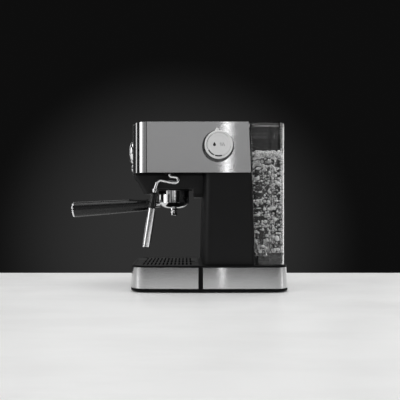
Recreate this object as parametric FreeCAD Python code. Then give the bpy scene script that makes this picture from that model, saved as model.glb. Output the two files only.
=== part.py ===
"""Pump espresso machine with a removable rear water tank, built as separate pieces in millimetres.

The machine stands on its feet with +Z up. Its front faces -Y, and its right-hand side, with the steam
knob and the steam wand, faces +X. The pieces are modelled about the brew group: x = 0 is the machine's
middle plane, y = 0 the brew group's axis and z = 0 the table. On export everything moves together, so
that the origin is the centre of the whole machine's footprint, handle and knob included.
"""

import FreeCAD
import Part
import math
import os

V = FreeCAD.Vector
X_AXIS = V(1, 0, 0)
Y_AXIS = V(0, 1, 0)
Z_AXIS = V(0, 0, 1)

# ---- overall sizes -------------------------------------------------------------------------------
TOTAL_HEIGHT = 303.0          # table to the top of the head's steel band
FRONT_REACH = 76.3            # group axis to the front of the base
REAR_REACH = 206.6            # group axis to the back of the base
HANDLE_REACH = 198.7          # group axis to the tip of the portafilter handle
HEAD_HEIGHT = 90.0            # height of the head's steel band
HEAD_BOTTOM = TOTAL_HEIGHT - HEAD_HEIGHT
TOUCH_GAP = 0.1               # between pieces of one body that meet
MOVE_GAP = 0.4                # between pieces that move past each other
RUN_GAP = 0.06                # radial clearance of a turning shaft in its bore
SHEET = 0.9                   # thickness of the stainless bands
SHELL = 2.4                   # wall of the plastic housings

# ---- base ----------------------------------------------------------------------------------------
BASE_HALF = 92.5              # half width at the corners, at the bottom
BASE_BOW = 3.5                # how far the long sides bulge outwards
BASE_DRAFT = 1.8              # how far the top of the base is drawn in on every side
BASE_FRONT_RADIUS = 30.0
BASE_REAR_RADIUS = 26.0
FOOT_RADIUS = 8.0
FOOT_HEIGHT = 3.0
FOOT_INSET = 22.0             # from the base's outline to a foot's centre
PAN_FLOOR = 4.2               # thickness of the pan's floor
BAND_BOTTOM = 7.4             # lower edge of the steel bands round the base
BAND_TOP = 44.3
DECK_TOP = 48.0               # top of the base and rim of the drip tray
BASE_WALL_FRONT = 51.0        # front wall of the base, behind the drip tray
BAND_GAP = 8.0                # black gap between the tray's band and the base's band
SCREW_HEAD = 3.2
SCREW_SHANK = 1.5
CORD_X = -55.0
CORD_Z = 24.0

# ---- column --------------------------------------------------------------------------------------
COLUMN_HALF = 83.0
COLUMN_FRONT_TOP = 56.0       # the column's front leans back a little towards its foot
COLUMN_FRONT_BOTTOM = 52.4
COLUMN_RADIUS = 16.0

# ---- tank ----------------------------------------------------------------------------------------
TANK_HALF = 80.0
TANK_BOTTOM = 48.5
TANK_FRONT_TOP = 138.0        # the tank's front leans back towards its foot
TANK_FRONT_BOTTOM = 146.0
TANK_REAR = 201.4
TANK_RADIUS = 14.0
TANK_WALL = 2.4
TANK_FLOOR_TOP = 69.0
LID_HEIGHT = 6.8
LID_LIP = 7.0                 # how deep the lid reaches into the tank
LID_PIN_RADIUS = 0.94
LID_KNUCKLE_RADIUS = 2.0
LID_KNUCKLE_HALF = 29.6       # half width of the lid's own knuckle
LID_LUG = 5.0
VALVE_Y = 172.0               # axis of the tank's outlet valve
VALVE_RADIUS = 9.0
SEAT_RADIUS = 14.0
PLUNGER_RADIUS = 2.0
PLUNGER_HEAD = 6.5
PLUNGER_CLEAR = 8.0           # tank's lower edge to the poppet's foot
SPRING_RADIUS = 5.4
SPRING_WIRE = 0.4
SPRING_TURNS = 3.5

# ---- head ----------------------------------------------------------------------------------------
HEAD_HALF = 88.0
HEAD_FRONT = 68.7             # group axis to the steel front
HEAD_RADIUS = 25.0
HEAD_REAR_TOP = 134.6
HEAD_REAR_BOTTOM = 138.6
TOP_FRAME_DEPTH = 10.0
TOP_FRAME_PROUD = 0.9
TOP_RIM = 6.0                 # width of the rim round the cup warmer
WARMER_RECESS = 4.5
WARMER_SHEET = 1.2
COVER_FLANGE = 2.2            # plate that closes the head from below

# ---- brew group and portafilter ------------------------------------------------------------------
BOWL_RADIUS = 29.5
BOWL_WALL = 2.2
COLLAR_RADIUS = BOWL_RADIUS + 6.5
COLLAR_BOTTOM = HEAD_BOTTOM - 29.5
COLLAR_TOP = HEAD_BOTTOM - 12.0
BOWL_RIM = HEAD_BOTTOM - 18.0
BOWL_SIDE_BOTTOM = HEAD_BOTTOM - 52.0  # where the side turns into the dished bottom
BOWL_BOTTOM = HEAD_BOTTOM - 63.0
EAR_RADIUS = BOWL_RADIUS + 4.0
EAR_BOTTOM = HEAD_BOTTOM - 23.6
EAR_THICK = 3.8
EAR_WIDTH = 18.0
GROOVE_RADIUS = EAR_RADIUS + 0.7
LIP_TOP = HEAD_BOTTOM - 24.0  # top of the collar's lip, which carries the ears
BASKET_RADIUS = BOWL_RADIUS - BOWL_WALL - 1.5
BASKET_DEPTH = 23.0
SCREEN_RADIUS = BASKET_RADIUS - 3.4
BASKET_SHEET = 0.8
SPOUT_BOTTOM = HEAD_BOTTOM - 76.0
SPOUT_RADIUS = 6.4
SPOUT_BORE = 4.2
SPOUT_SPREAD = 8.6            # middle plane to each outlet
ARM_RADIUS = 5.6
HANDLE_ROOT = 46.0            # group axis to the handle's inner end
HANDLE_ROOT_HEIGHT = HEAD_BOTTOM - 56.0
HANDLE_TIP_HEIGHT = HEAD_BOTTOM - 66.0
HANDLE_CAP = 6.6              # length of the end cap, dome included
CAP_RIM = 2.6                 # straight part of the end cap
HANDLE_ROOT_HALF = 9.8
HANDLE_TIP_HALF = 14.6
RETAINER_WIDTH = 15.0
RETAINER_THICK = 2.6
RETAINER_PIVOT = 51.0
RETAINER_PIN_RADIUS = 0.94
RETAINER_LUG = 2.2
RETAINER_REACH = 86.0

# ---- lower cover round the group -----------------------------------------------------------------
CHIN_TOP_HALF = 47.0
CHIN_BOTTOM_HALF = 41.0
CHIN_FRONT_TOP = 75.4
CHIN_FRONT_BOTTOM = 54.6
CHIN_RADIUS = 10.0
CHIN_BOTTOM = HEAD_BOTTOM - 36.0
CHIN_REAR_BOTTOM = HEAD_BOTTOM - 42.5  # the part behind the group hangs lower
GROUP_SLOT_TOP = HEAD_BOTTOM - 27.0  # roof of the slot that the group sits in
GROUP_SLOT_HALF = COLLAR_RADIUS + 2.0

# ---- fascia, gauge and buttons -------------------------------------------------------------------
FASCIA_HALF = 62.0
FASCIA_FRAME = 2.4
FASCIA_PANEL = 2.2
FASCIA_BOW = 2.6
GAUGE_HEIGHT = HEAD_BOTTOM + 44.0
GAUGE_RADIUS = 21.5
GAUGE_WINDOW = 14.8
GAUGE_PROUD = 8.2             # bezel beyond the fascia
GAUGE_CASE_RADIUS = 19.0
GAUGE_CASE_DEPTH = 24.0
BUTTON_HEIGHT = HEAD_BOTTOM + 11.6
BUTTON_PITCH = 30.0
BUTTON_RADIUS = 6.6
BUTTON_RING_RADIUS = 8.4
RING_LIP = 0.8
BUTTON_PROUD = 2.6
BUTTON_TRAVEL = 2.0

# ---- steam knob, valve and wand ------------------------------------------------------------------
KNOB_Y = 80.0
KNOB_Z = HEAD_BOTTOM + 46.7
KNOB_BASE_RADIUS = 28.0
KNOB_FACE_RADIUS = 24.5
KNOB_GAP = 0.6
KNOB_BODY = 16.4
KNOB_CAP = 8.0
KNOB_RIM_INNER = 21.4
KNOB_FIELD = 0.5              # how far the field lies below the rim
KNOB_BEAD = 16.5
KNOB_POINTER = 4.6            # how far the pointer stands out of the rim
KNOB_POINTER_TURN = 7.0       # degrees before upright, with the valve shut
SPINDLE_RADIUS = 3.0
VALVE_BODY_RADIUS = 10.0
VALVE_INLET_X = 52.2
STUB_RADIUS = 3.4
WAND_X = 62.0
WAND_Y = -5.9
PIPE_RADIUS = 3.1
PIPE_WALL = 1.0
WAND_LOOP_TOP = HEAD_BOTTOM - 5.4  # centre of the pipe where it runs back under the head
WAND_LOOP_BOTTOM = HEAD_BOTTOM - 16.4  # and where it comes forward again
WAND_LOOP_REAR = 9.6
WAND_DROP_Y = -34.2           # where the pipe turns down
WAND_TILT = 8.7               # degrees, foot forwards
GRIP_TOP = HEAD_BOTTOM - 35.0
GRIP_LENGTH = 28.0
GRIP_RADIUS = 6.8
SLEEVE_LENGTH = 71.5
SLEEVE_RADIUS = 7.4
SLEEVE_WALL = 0.7

# ---- values that follow --------------------------------------------------------------------------
BASE_WIDEST = BASE_HALF + BASE_BOW
KNOB_REACH = HEAD_HALF + KNOB_GAP + KNOB_BODY + KNOB_CAP
SHIFT = V((BASE_WIDEST - KNOB_REACH) / 2, (HANDLE_REACH - REAR_REACH) / 2, 0)
TANK_TOP = TOTAL_HEIGHT + 0.4 - LID_HEIGHT
FASCIA_BACK = -HEAD_FRONT - TOUCH_GAP
FASCIA_FRONT = FASCIA_BACK - FASCIA_FRAME - TOUCH_GAP - FASCIA_PANEL
FASCIA_MIDDLE = FASCIA_FRONT - FASCIA_BOW
FLANGE_BOTTOM = HEAD_BOTTOM + 0.8
BUTTON_PLACES = [-BUTTON_PITCH, 0.0, BUTTON_PITCH]


# ---- helpers -------------------------------------------------------------------------------------
def box(x0, x1, y0, y1, z0, z1):
    return Part.makeBox(x1 - x0, y1 - y0, z1 - z0, V(x0, y0, z0))


def rod(radius, start, end):
    return Part.makeCylinder(radius, (end - start).Length, start, end - start)


def pipe(outer, inner, start, end):
    return rod(outer, start, end).cut(rod(inner, start, end))


def plan_wire(half, front, rear, front_radius, rear_radius, level, bow=0.0):
    """A rounded rectangle in plan from y = front to y = rear, whose long sides may bulge by bow."""
    middle = (front + rear) / 2
    corners = [V(-half, front), V(half, front), V(half, rear), V(-half, rear)]
    sides = [Part.LineSegment(corners[0], corners[1])]
    if bow:
        sides.append(Part.Arc(corners[1], V(half + bow, middle), corners[2]))
    else:
        sides.append(Part.LineSegment(corners[1], corners[2]))
    sides.append(Part.LineSegment(corners[2], corners[3]))
    if bow:
        sides.append(Part.Arc(corners[3], V(-half - bow, middle), corners[0]))
    else:
        sides.append(Part.LineSegment(corners[3], corners[0]))
    block = Part.Face(Part.Wire([side.toShape() for side in sides])).extrude(Z_AXIS)
    for at, radius in ((front, front_radius), (rear, rear_radius)):
        posts = [e for e in block.Edges if is_post(e) and abs(e.Vertexes[0].Point.y - at) < 1e-4]
        block = block.makeFillet(radius, posts)
    floor = min(block.Faces, key=lambda face: face.CenterOfMass.z)
    wire = floor.OuterWire
    wire.translate(V(0, 0, level))
    return wire


def is_post(edge):
    """True for a straight edge along Z."""
    if len(edge.Vertexes) != 2:
        return False
    run = edge.Vertexes[1].Point - edge.Vertexes[0].Point
    return abs(run.x) < 1e-6 and abs(run.y) < 1e-6


def prism(wire, height):
    return Part.Face(wire).extrude(V(0, 0, height))


def tapered(lower, upper):
    return Part.makeLoft([lower, upper], True, True)


def side_prism(points, half):
    """A polygon of (y, z) points, as thick as 2 * half across the middle plane."""
    loop = [V(-half, y, z) for y, z in points]
    return Part.Face(Part.makePolygon(loop + loop[:1])).extrude(V(2 * half, 0, 0))


def turned(points, centre, axis):
    """A (radius, height) outline turned about an axis: height runs along the axis from centre."""
    loop = [V(r, 0, h) for r, h in points]
    solid = Part.Face(Part.makePolygon(loop + loop[:1])).revolve(V(0, 0, 0), Z_AXIS, 360)
    return placed(solid, centre, axis)


def placed(shape, centre, axis):
    """Turns a shape built along +Z so that it runs along axis, and moves its origin to centre."""
    shape = shape.copy()
    shape.Placement = FreeCAD.Placement(centre, FreeCAD.Rotation(Z_AXIS, axis))
    return shape


def placed_copy(shape, centre, axis):
    move = FreeCAD.Placement(centre, FreeCAD.Rotation(Z_AXIS, axis)).toMatrix()
    return shape.transformGeometry(move)


def fused(pieces):
    whole = pieces[0]
    if len(pieces) > 1:
        whole = whole.fuse(pieces[1:])
    return whole.removeSplitter()


def group_of(pieces):
    return Part.makeCompound(pieces)


def bent_path(points, radii):
    """Straight runs joined by tangent arcs: one radius for each inner point."""
    edges = []
    start = points[0]
    for before, corner, after, radius in zip(points, points[1:], points[2:], radii):
        arrive = (corner - before).normalize()
        leave = (after - corner).normalize()
        turn = arrive.getAngle(leave)
        back = radius * math.tan(turn / 2)
        first = corner - arrive * back
        last = corner + leave * back
        inward = (leave - arrive).normalize()
        centre = corner + inward * (radius / math.cos(turn / 2))
        edges.append(Part.LineSegment(start, first).toShape())
        edges.append(Part.Arc(first, centre - inward * radius, last).toShape())
        start = last
    edges.append(Part.LineSegment(start, points[-1]).toShape())
    return Part.Wire(edges)


def swept(path, radius):
    first = path.Edges[0]
    begin = first.firstVertex(True).Point
    disc = Part.Wire(Part.makeCircle(radius, begin, first.tangentAt(first.FirstParameter)))
    return path.makePipeShell([disc], True, False)


def hose(points, radii, outer, inner):
    path = bent_path(points, radii)
    return swept(path, outer).cut(swept(path, inner))


def slots(x_places, y_places, length, width, low, high):
    """Round-ended slots along X, as one cutting tool."""
    tools = []
    for x in x_places:
        for y in y_places:
            half = (length - width) / 2
            bar = box(x - half, x + half, y - width / 2, y + width / 2, low, high)
            ends = [rod(width / 2, V(x + s * half, y, low), V(x + s * half, y, high)) for s in (-1, 1)]
            tools.append(bar.fuse(ends))
    return group_of(tools)


def tank_front_at(level):
    """y of the tank's front face at a height."""
    share = (level - TANK_BOTTOM) / (TOTAL_HEIGHT - TANK_BOTTOM)
    return TANK_FRONT_BOTTOM + (TANK_FRONT_TOP - TANK_FRONT_BOTTOM) * share


def column_front_at(level):
    """y of the column's front face at a height."""
    share = (level - DECK_TOP) / (HEAD_BOTTOM - DECK_TOP)
    return COLUMN_FRONT_BOTTOM + (COLUMN_FRONT_TOP - COLUMN_FRONT_BOTTOM) * share


def fascia_front_at(x):
    """y of the fascia's bowed front at a distance from the middle."""
    return FASCIA_MIDDLE + FASCIA_BOW * (x / FASCIA_HALF) ** 2


# ---- base ----------------------------------------------------------------------------------------
def base_wire(level, inset):
    """The base's outline at a height, drawn in by inset: it is a little larger at the bottom."""
    share = (level - BAND_BOTTOM) / (DECK_TOP - BAND_BOTTOM)
    inset = inset + BASE_DRAFT * max(0.0, share)
    return plan_wire(
        BASE_HALF - inset,
        -FRONT_REACH + inset,
        REAR_REACH - inset,
        BASE_FRONT_RADIUS - inset,
        BASE_REAR_RADIUS - inset,
        level,
        BASE_BOW,
    )


def base_block(low, high, inset):
    return tapered(base_wire(low, inset), base_wire(high, inset))


def base_band_ring():
    outer = base_block(BAND_BOTTOM, BAND_TOP, 0.0)
    inner = base_block(BAND_BOTTOM, BAND_TOP, SHEET)
    return outer.cut(inner)


def behind(y):
    return box(-200, 200, y, 400, -10, 400)


def before(y):
    return box(-200, 200, -400, y, -10, 400)


def tank_seat_hole():
    return rod(SEAT_RADIUS - 2, V(0, VALVE_Y, 0), V(0, VALVE_Y, DECK_TOP + 5))


def cord_hole():
    return rod(7.0, V(CORD_X, REAR_REACH - 15, CORD_Z), V(CORD_X, REAR_REACH + 15, CORD_Z))


def column_well():
    """The opening in the deck under the column, for the hoses and wires."""
    return box(-60, 60, COLUMN_FRONT_BOTTOM + 12, TANK_FRONT_BOTTOM - 16, DECK_TOP - 10, DECK_TOP + 5)


def base_pan():
    """The tub that carries everything: a floor under the whole footprint and a box behind the drip tray."""
    floor = prism(base_wire(FOOT_HEIGHT - 0.4, 0.0), PAN_FLOOR)
    top_of_floor = FOOT_HEIGHT - 0.4 + PAN_FLOOR
    wall = base_block(top_of_floor - 1.0, DECK_TOP, SHEET + TOUCH_GAP).common(behind(BASE_WALL_FRONT))
    rim = base_block(BAND_TOP + TOUCH_GAP, DECK_TOP, 0.0).common(behind(BASE_WALL_FRONT))
    hollow = base_block(top_of_floor, DECK_TOP - 3.0, SHEET + SHELL).common(behind(BASE_WALL_FRONT + SHELL))
    shell = floor.fuse([wall, rim]).cut(hollow)
    screws = [rod(SCREW_SHANK + 0.1, V(x, y, 0), V(x, y, 12)) for x, y in bottom_screw_places()]
    bosses = [rod(4.0, V(x, y, top_of_floor - 0.5), V(x, y, 13)) for x, y in bottom_screw_places()]
    sockets = [rod(FOOT_RADIUS + TOUCH_GAP, V(x, y, 0), V(x, y, FOOT_HEIGHT + 0.4)) for x, y in foot_places()]
    tools = [tank_seat_hole(), cord_hole(), column_well(), bottom_opening()] + screws + sockets
    return shell.fuse(bosses).cut(tools).removeSplitter()


def foot_places():
    side = BASE_HALF - FOOT_INSET
    return [
        (sx * side, y) for sx in (-1, 1) for y in (-FRONT_REACH + FOOT_INSET, REAR_REACH - FOOT_INSET)
    ]


def bottom_opening():
    return box(-58, 58, BASE_WALL_FRONT + 14, REAR_REACH - 38, 0, 9)


def bottom_screw_places():
    return [(sx * 64, y) for sx in (-1, 1) for y in (BASE_WALL_FRONT + 24, REAR_REACH - 50)]


def bottom_plate():
    """The service plate over the opening under the base."""
    low = 1.2
    plate = box(-70, 70, BASE_WALL_FRONT + 8, REAR_REACH - 32, low, FOOT_HEIGHT - 0.4 - TOUCH_GAP)
    posts = [e for e in plate.Edges if is_post(e)]
    plate = plate.makeFillet(6.0, posts)
    holes = [rod(SCREW_SHANK + 0.1, V(x, y, 0), V(x, y, 9)) for x, y in bottom_screw_places()]
    vents = slots((-24, 24), [BASE_WALL_FRONT + 40 + 9 * i for i in range(7)], 34, 3, 0, 6)
    return plate.cut(holes + [vents])


def screw(x, y, low, length):
    """A pan-head screw that points up, with a cross slot in its head."""
    head = rod(SCREW_HEAD, V(x, y, low - 1.0), V(x, y, low))
    shank = rod(SCREW_SHANK, V(x, y, low), V(x, y, low + length))
    cross = [box(x - 2, x + 2, y - 0.4, y + 0.4, low - 1.0, low - 0.4)]
    cross.append(box(x - 0.4, x + 0.4, y - 2, y + 2, low - 1.0, low - 0.4))
    return head.fuse(shank).cut(cross)


def bottom_screws():
    return group_of([screw(x, y, 1.2 - 0.02, 10.0) for x, y in bottom_screw_places()])


def rubber_feet():
    feet = []
    for x, y in foot_places():
        profile = [(0, 0), (FOOT_RADIUS - 1, 0), (FOOT_RADIUS, 1), (FOOT_RADIUS, FOOT_HEIGHT), (0, FOOT_HEIGHT)]
        feet.append(turned(profile, V(x, y, 0), Z_AXIS))
    return group_of(feet)


def base_band():
    band = base_band_ring().common(behind(BASE_WALL_FRONT + 2.3))
    return band.cut(cord_hole())


def cord_grommet():
    """The bush that the mains lead would leave through, low at the back."""
    rear = REAR_REACH + BASE_DRAFT
    body = rod(6.8, V(CORD_X, REAR_REACH - 8.0, CORD_Z), V(CORD_X, rear, CORD_Z))
    bore = rod(3.6, V(CORD_X, REAR_REACH - 12, CORD_Z), V(CORD_X, rear + 5, CORD_Z))
    return body.common(before(REAR_REACH - 0.2)).cut(bore)


# ---- drip tray -----------------------------------------------------------------------------------
TRAY_BOTTOM = FOOT_HEIGHT - 0.4 + PAN_FLOOR + MOVE_GAP
TRAY_REAR = BASE_WALL_FRONT - MOVE_GAP
GRID_LEDGE = DECK_TOP - 3.4


def tray_cavity(low, high, inset):
    return base_block(low, high, inset).common(before(TRAY_REAR - inset + SHEET))


def drip_tray():
    """The tub under the cup grid, with a ledge round its mouth."""
    body = base_block(TRAY_BOTTOM, DECK_TOP, SHEET + TOUCH_GAP)
    rim = base_block(BAND_TOP + TOUCH_GAP, DECK_TOP, 0.0)
    whole = body.fuse(rim).common(before(TRAY_REAR))
    tub = tray_cavity(TRAY_BOTTOM + 2.2, DECK_TOP + 1, SHEET + 6.0)
    mouth = tray_cavity(GRID_LEDGE, DECK_TOP + 1, SHEET + 2.6)
    return whole.cut([tub, mouth]).removeSplitter()


def tray_band():
    return base_band_ring().common(before(TRAY_REAR - BAND_GAP + 2.5))


def drip_grid():
    """The slotted cup stand that drops into the tray's mouth."""
    inset = SHEET + 2.6 + MOVE_GAP
    outer = tray_cavity(GRID_LEDGE + 0.3, DECK_TOP - 0.4, inset)
    inner = tray_cavity(GRID_LEDGE - 1.0, DECK_TOP - 1.6, inset + 1.2)
    sheet = outer.cut(inner)
    rows = [-FRONT_REACH + 22 + 7.2 * i for i in range(13)]
    tools = [slots((-50, 0, 50), rows, 40, 3.4, GRID_LEDGE - 5, DECK_TOP + 5)]
    grips = [rod(7.0, V(0, TRAY_REAR - 16, GRID_LEDGE - 5), V(0, TRAY_REAR - 16, DECK_TOP + 5))]
    return sheet.cut(tools + grips)


# ---- column --------------------------------------------------------------------------------------
def column_block(inset, low, high, rear):
    wires = []
    for level in (low, high):
        front = column_front_at(level) + inset
        wires.append(plan_wire(COLUMN_HALF - inset, front, rear(level), COLUMN_RADIUS - inset, 1.0, level))
    return tapered(*wires)


def rear_panel_front_at(level):
    return tank_front_at(level) - 1.0 - SHELL


def column_housing():
    """The upright between base and head, open at the back, where the rear panel closes it."""
    low = DECK_TOP + TOUCH_GAP
    high = FLANGE_BOTTOM + COVER_FLANGE
    outer = column_block(0.0, low, high, lambda z: rear_panel_front_at(z) - TOUCH_GAP)
    inner = column_block(SHELL, low, high, lambda z: rear_panel_front_at(z) + 20)
    return outer.cut(inner)


def rear_panel():
    """One leaning plate behind the column and the head, which the tank stands against."""
    low = DECK_TOP + TOUCH_GAP
    high = TOTAL_HEIGHT - TOP_FRAME_DEPTH - TOUCH_GAP
    profile = [
        (rear_panel_front_at(low), low),
        (tank_front_at(low) - 1.0, low),
        (tank_front_at(high) - 1.0, high),
        (rear_panel_front_at(high), high),
    ]
    plate = side_prism(profile, HEAD_HALF - SHEET - 1.0)
    narrow = side_prism(profile, COLUMN_HALF)
    plate = narrow.fuse(plate.common(box(-200, 200, 0, 300, FLANGE_BOTTOM, 400)))
    vents = []
    for i in range(8):
        for side in (-1, 1):
            vents.append(box(side * 40 - 14, side * 40 + 14, 100, 160, 100 + 9 * i, 103 + 9 * i))
    return plate.cut(vents).removeSplitter()


# ---- head ----------------------------------------------------------------------------------------
def head_wire(inset, level):
    rear = HEAD_REAR_BOTTOM + 10
    return plan_wire(HEAD_HALF - inset, -HEAD_FRONT + inset, rear, HEAD_RADIUS - inset, 1.0, level)


def head_block(inset, low, high):
    return prism(head_wire(inset, low), high - low)


def head_rear_cut(back):
    """Everything behind the head's leaning rear edge, moved by back."""
    far = 400
    points = [
        (HEAD_REAR_BOTTOM + back, HEAD_BOTTOM),
        (HEAD_REAR_TOP + back, TOTAL_HEIGHT),
        (HEAD_REAR_TOP + back, far),
        (far, far),
        (far, 0),
        (HEAD_REAR_BOTTOM + back, 0),
    ]
    return side_prism(points, 200)


def head_band():
    """The stainless band round the head: both sides and the front, with holes for the controls."""
    shell = head_block(0.0, HEAD_BOTTOM, TOTAL_HEIGHT).cut(head_block(SHEET, HEAD_BOTTOM, TOTAL_HEIGHT))
    shell = shell.cut(head_rear_cut(0.0))
    holes = [rod(GAUGE_CASE_RADIUS + 0.8, V(0, -100, GAUGE_HEIGHT), V(0, -50, GAUGE_HEIGHT))]
    for x in BUTTON_PLACES:
        holes.append(rod(BUTTON_RADIUS + 1.0, V(x, -100, BUTTON_HEIGHT), V(x, -50, BUTTON_HEIGHT)))
    holes.append(rod(SPINDLE_RADIUS + 2.0, V(60, KNOB_Y, KNOB_Z), V(100, KNOB_Y, KNOB_Z)))
    return shell.cut(holes).removeSplitter()


def top_frame():
    """The black frame that closes the head and carries the cup warmer."""
    inset = SHEET + TOUCH_GAP
    low = TOTAL_HEIGHT - TOP_FRAME_DEPTH
    top = TOTAL_HEIGHT + TOP_FRAME_PROUD
    block = head_block(inset, low, top).cut(head_rear_cut(-TOUCH_GAP))
    edge = [e for e in block.Edges if all(abs(v.Point.z - top) < 1e-4 for v in e.Vertexes)]
    block = block.makeFillet(TOP_FRAME_PROUD * 0.9, edge)
    recess = head_block(inset + TOP_RIM, top - WARMER_RECESS, top + 1)
    recess = recess.cut(head_rear_cut(-TOP_RIM))
    under = head_block(inset + SHELL, low - 1, top - WARMER_RECESS - SHELL).cut(head_rear_cut(-SHELL - 4))
    vents = slots((-45, 0, 45), [-40 + 12 * i for i in range(13)], 30, 4, low - 5, top + 5)
    return block.cut([recess, under, vents]).removeSplitter()


def cup_warmer_plate():
    """The pierced plate that cups stand on, over the warm head."""
    inset = SHEET + TOUCH_GAP + TOP_RIM + 0.2
    low = TOTAL_HEIGHT + TOP_FRAME_PROUD - WARMER_RECESS + TOUCH_GAP
    plate = head_block(inset, low, low + WARMER_SHEET).cut(head_rear_cut(-TOP_RIM - 0.2))
    ribs = head_block(inset + 10, low + WARMER_SHEET - 0.1, low + WARMER_SHEET + 0.8)
    ribs = ribs.cut(head_block(inset + 12, low, low + 9)).cut(head_rear_cut(-TOP_RIM - 12))
    back = box(-60, 60, HEAD_REAR_TOP - 20, HEAD_REAR_TOP - 18, low + WARMER_SHEET - 0.1, low + WARMER_SHEET + 0.8)
    plate = plate.fuse([ribs, back])
    holes = slots((-51, -17, 17, 51), [-44 + 14.5 * i for i in range(11)], 22, 4, low - 5, low + 5)
    return plate.cut(holes).removeSplitter()


# ---- lower cover ---------------------------------------------------------------------------------
def chin_wire(half, front, level, inset):
    return plan_wire(half - inset, -front + inset, COLUMN_FRONT_TOP + 4, CHIN_RADIUS - inset, 1.0, level)


def chin_block(inset, low, high):
    wires = []
    for level in (low, high):
        share = (level - CHIN_BOTTOM) / (HEAD_BOTTOM - 3.5 - CHIN_BOTTOM)
        half = CHIN_BOTTOM_HALF + (CHIN_TOP_HALF - CHIN_BOTTOM_HALF) * share
        front = CHIN_FRONT_BOTTOM + (CHIN_FRONT_TOP - CHIN_FRONT_BOTTOM) * share
        wires.append(chin_wire(half, front, level, inset))
    return tapered(*wires)


def wand_socket_hole():
    return rod(10.4, V(WAND_X, WAND_Y, HEAD_BOTTOM - 20), V(WAND_X, WAND_Y, HEAD_BOTTOM + 20))


def lower_cover():
    """The black cover that closes the head from below and funnels down round the brew group."""
    shoulder = HEAD_BOTTOM - 3.5
    funnel = chin_block(0.0, CHIN_BOTTOM, shoulder)
    brow = prism(chin_wire(CHIN_TOP_HALF, CHIN_FRONT_TOP, shoulder, 0.0), 3.5 - TOUCH_GAP)
    plug = box(-CHIN_TOP_HALF + 3, CHIN_TOP_HALF - 3, -HEAD_FRONT + 4, COLUMN_FRONT_TOP + 4, shoulder, FLANGE_BOTTOM)
    flange = head_block(SHEET + TOUCH_GAP, FLANGE_BOTTOM, FLANGE_BOTTOM + COVER_FLANGE).cut(head_rear_cut(-2.0))
    rear = box(
        -CHIN_BOTTOM_HALF + 1, CHIN_BOTTOM_HALF - 1,
        GROUP_SLOT_HALF, COLUMN_FRONT_TOP + 4,
        CHIN_REAR_BOTTOM, shoulder - 5,
    )
    outer = funnel.fuse([brow, plug, flange, rear])
    slot = box(-200, 200, -GROUP_SLOT_HALF, GROUP_SLOT_HALF, CHIN_REAR_BOTTOM - 5, GROUP_SLOT_TOP)
    front_inside = chin_block(SHELL, CHIN_BOTTOM + SHELL, HEAD_BOTTOM + 30)
    rear_inside = box(
        -CHIN_BOTTOM_HALF + 1 + SHELL, CHIN_BOTTOM_HALF - 1 - SHELL,
        GROUP_SLOT_HALF + SHELL, COLUMN_FRONT_TOP + 10,
        CHIN_REAR_BOTTOM + SHELL, GROUP_SLOT_TOP + 5,
    )
    ceiling = box(
        -200, 200, -GROUP_SLOT_HALF - SHELL, GROUP_SLOT_HALF + SHELL, 0, GROUP_SLOT_TOP + SHELL
    )
    hollow = front_inside.cut(ceiling).fuse(rear_inside)
    hollow = hollow.common(box(-CHIN_TOP_HALF + 6, CHIN_TOP_HALF - 6, -100, 100, 0, 400))
    tools = [slot, hollow, wand_socket_hole()]
    tools.append(rod(COLLAR_RADIUS + 0.6, V(0, 0, GROUP_SLOT_TOP - 1), V(0, 0, HEAD_BOTTOM + 20)))
    tools.append(
        column_block(-0.25, CHIN_REAR_BOTTOM - 5, HEAD_BOTTOM + 20, lambda z: HEAD_REAR_BOTTOM + 40)
    )
    return outer.cut(tools).removeSplitter()


# ---- fascia --------------------------------------------------------------------------------------
def fascia_block(half, low, high, back, front, bow):
    """A plate across the front whose face bows forwards."""
    left_back = V(-half, back, low)
    right_back = V(half, back, low)
    left = V(-half, front, low)
    right = V(half, front, low)
    edges = [
        Part.LineSegment(left_back, right_back).toShape(),
        Part.LineSegment(right_back, right).toShape(),
        Part.Arc(right, V(0, front - bow, low), left).toShape(),
        Part.LineSegment(left, left_back).toShape(),
    ]
    return Part.Face(Part.Wire(edges)).extrude(V(0, 0, high - low))


def control_holes(gauge, button, low=-100.0, high=-40.0):
    holes = [rod(gauge, V(0, low, GAUGE_HEIGHT), V(0, high, GAUGE_HEIGHT))]
    for x in BUTTON_PLACES:
        holes.append(rod(button, V(x, low, BUTTON_HEIGHT), V(x, high, BUTTON_HEIGHT)))
    return holes


def rounded_posts(block, radius):
    """Rounds the corners of a front plate: its edges that run along Y."""
    edges = []
    for e in block.Edges:
        run = e.Vertexes[-1].Point - e.Vertexes[0].Point
        if abs(run.x) < 1e-6 and abs(run.z) < 1e-6 and abs(run.y) > 0.5:
            edges.append(e)
    return block.makeFillet(radius, edges)


def fascia_frame():
    block = box(-FASCIA_HALF, FASCIA_HALF, FASCIA_BACK - FASCIA_FRAME, FASCIA_BACK, HEAD_BOTTOM, TOTAL_HEIGHT)
    block = rounded_posts(block, 4.0)
    return block.cut(control_holes(GAUGE_CASE_RADIUS + 0.8, BUTTON_RADIUS + 1.0))


def fascia_plate_block(inset):
    back = FASCIA_BACK - FASCIA_FRAME - TOUCH_GAP
    block = fascia_block(
        FASCIA_HALF - inset, HEAD_BOTTOM + inset, TOTAL_HEIGHT - inset, back, FASCIA_FRONT, FASCIA_BOW
    )
    return rounded_posts(block, 4.0 - inset)





def fascia_panel():
    """The glossy bowed panel, its long edges rounded so that they catch the light."""
    block = fascia_plate_block(0.3)
    face = min(block.Faces, key=lambda f: f.CenterOfMass.y)
    block = block.makeFillet(0.8, face.Edges)
    return block.cut(control_holes(GAUGE_CASE_RADIUS + 0.8, BUTTON_RADIUS + 1.0))


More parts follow.
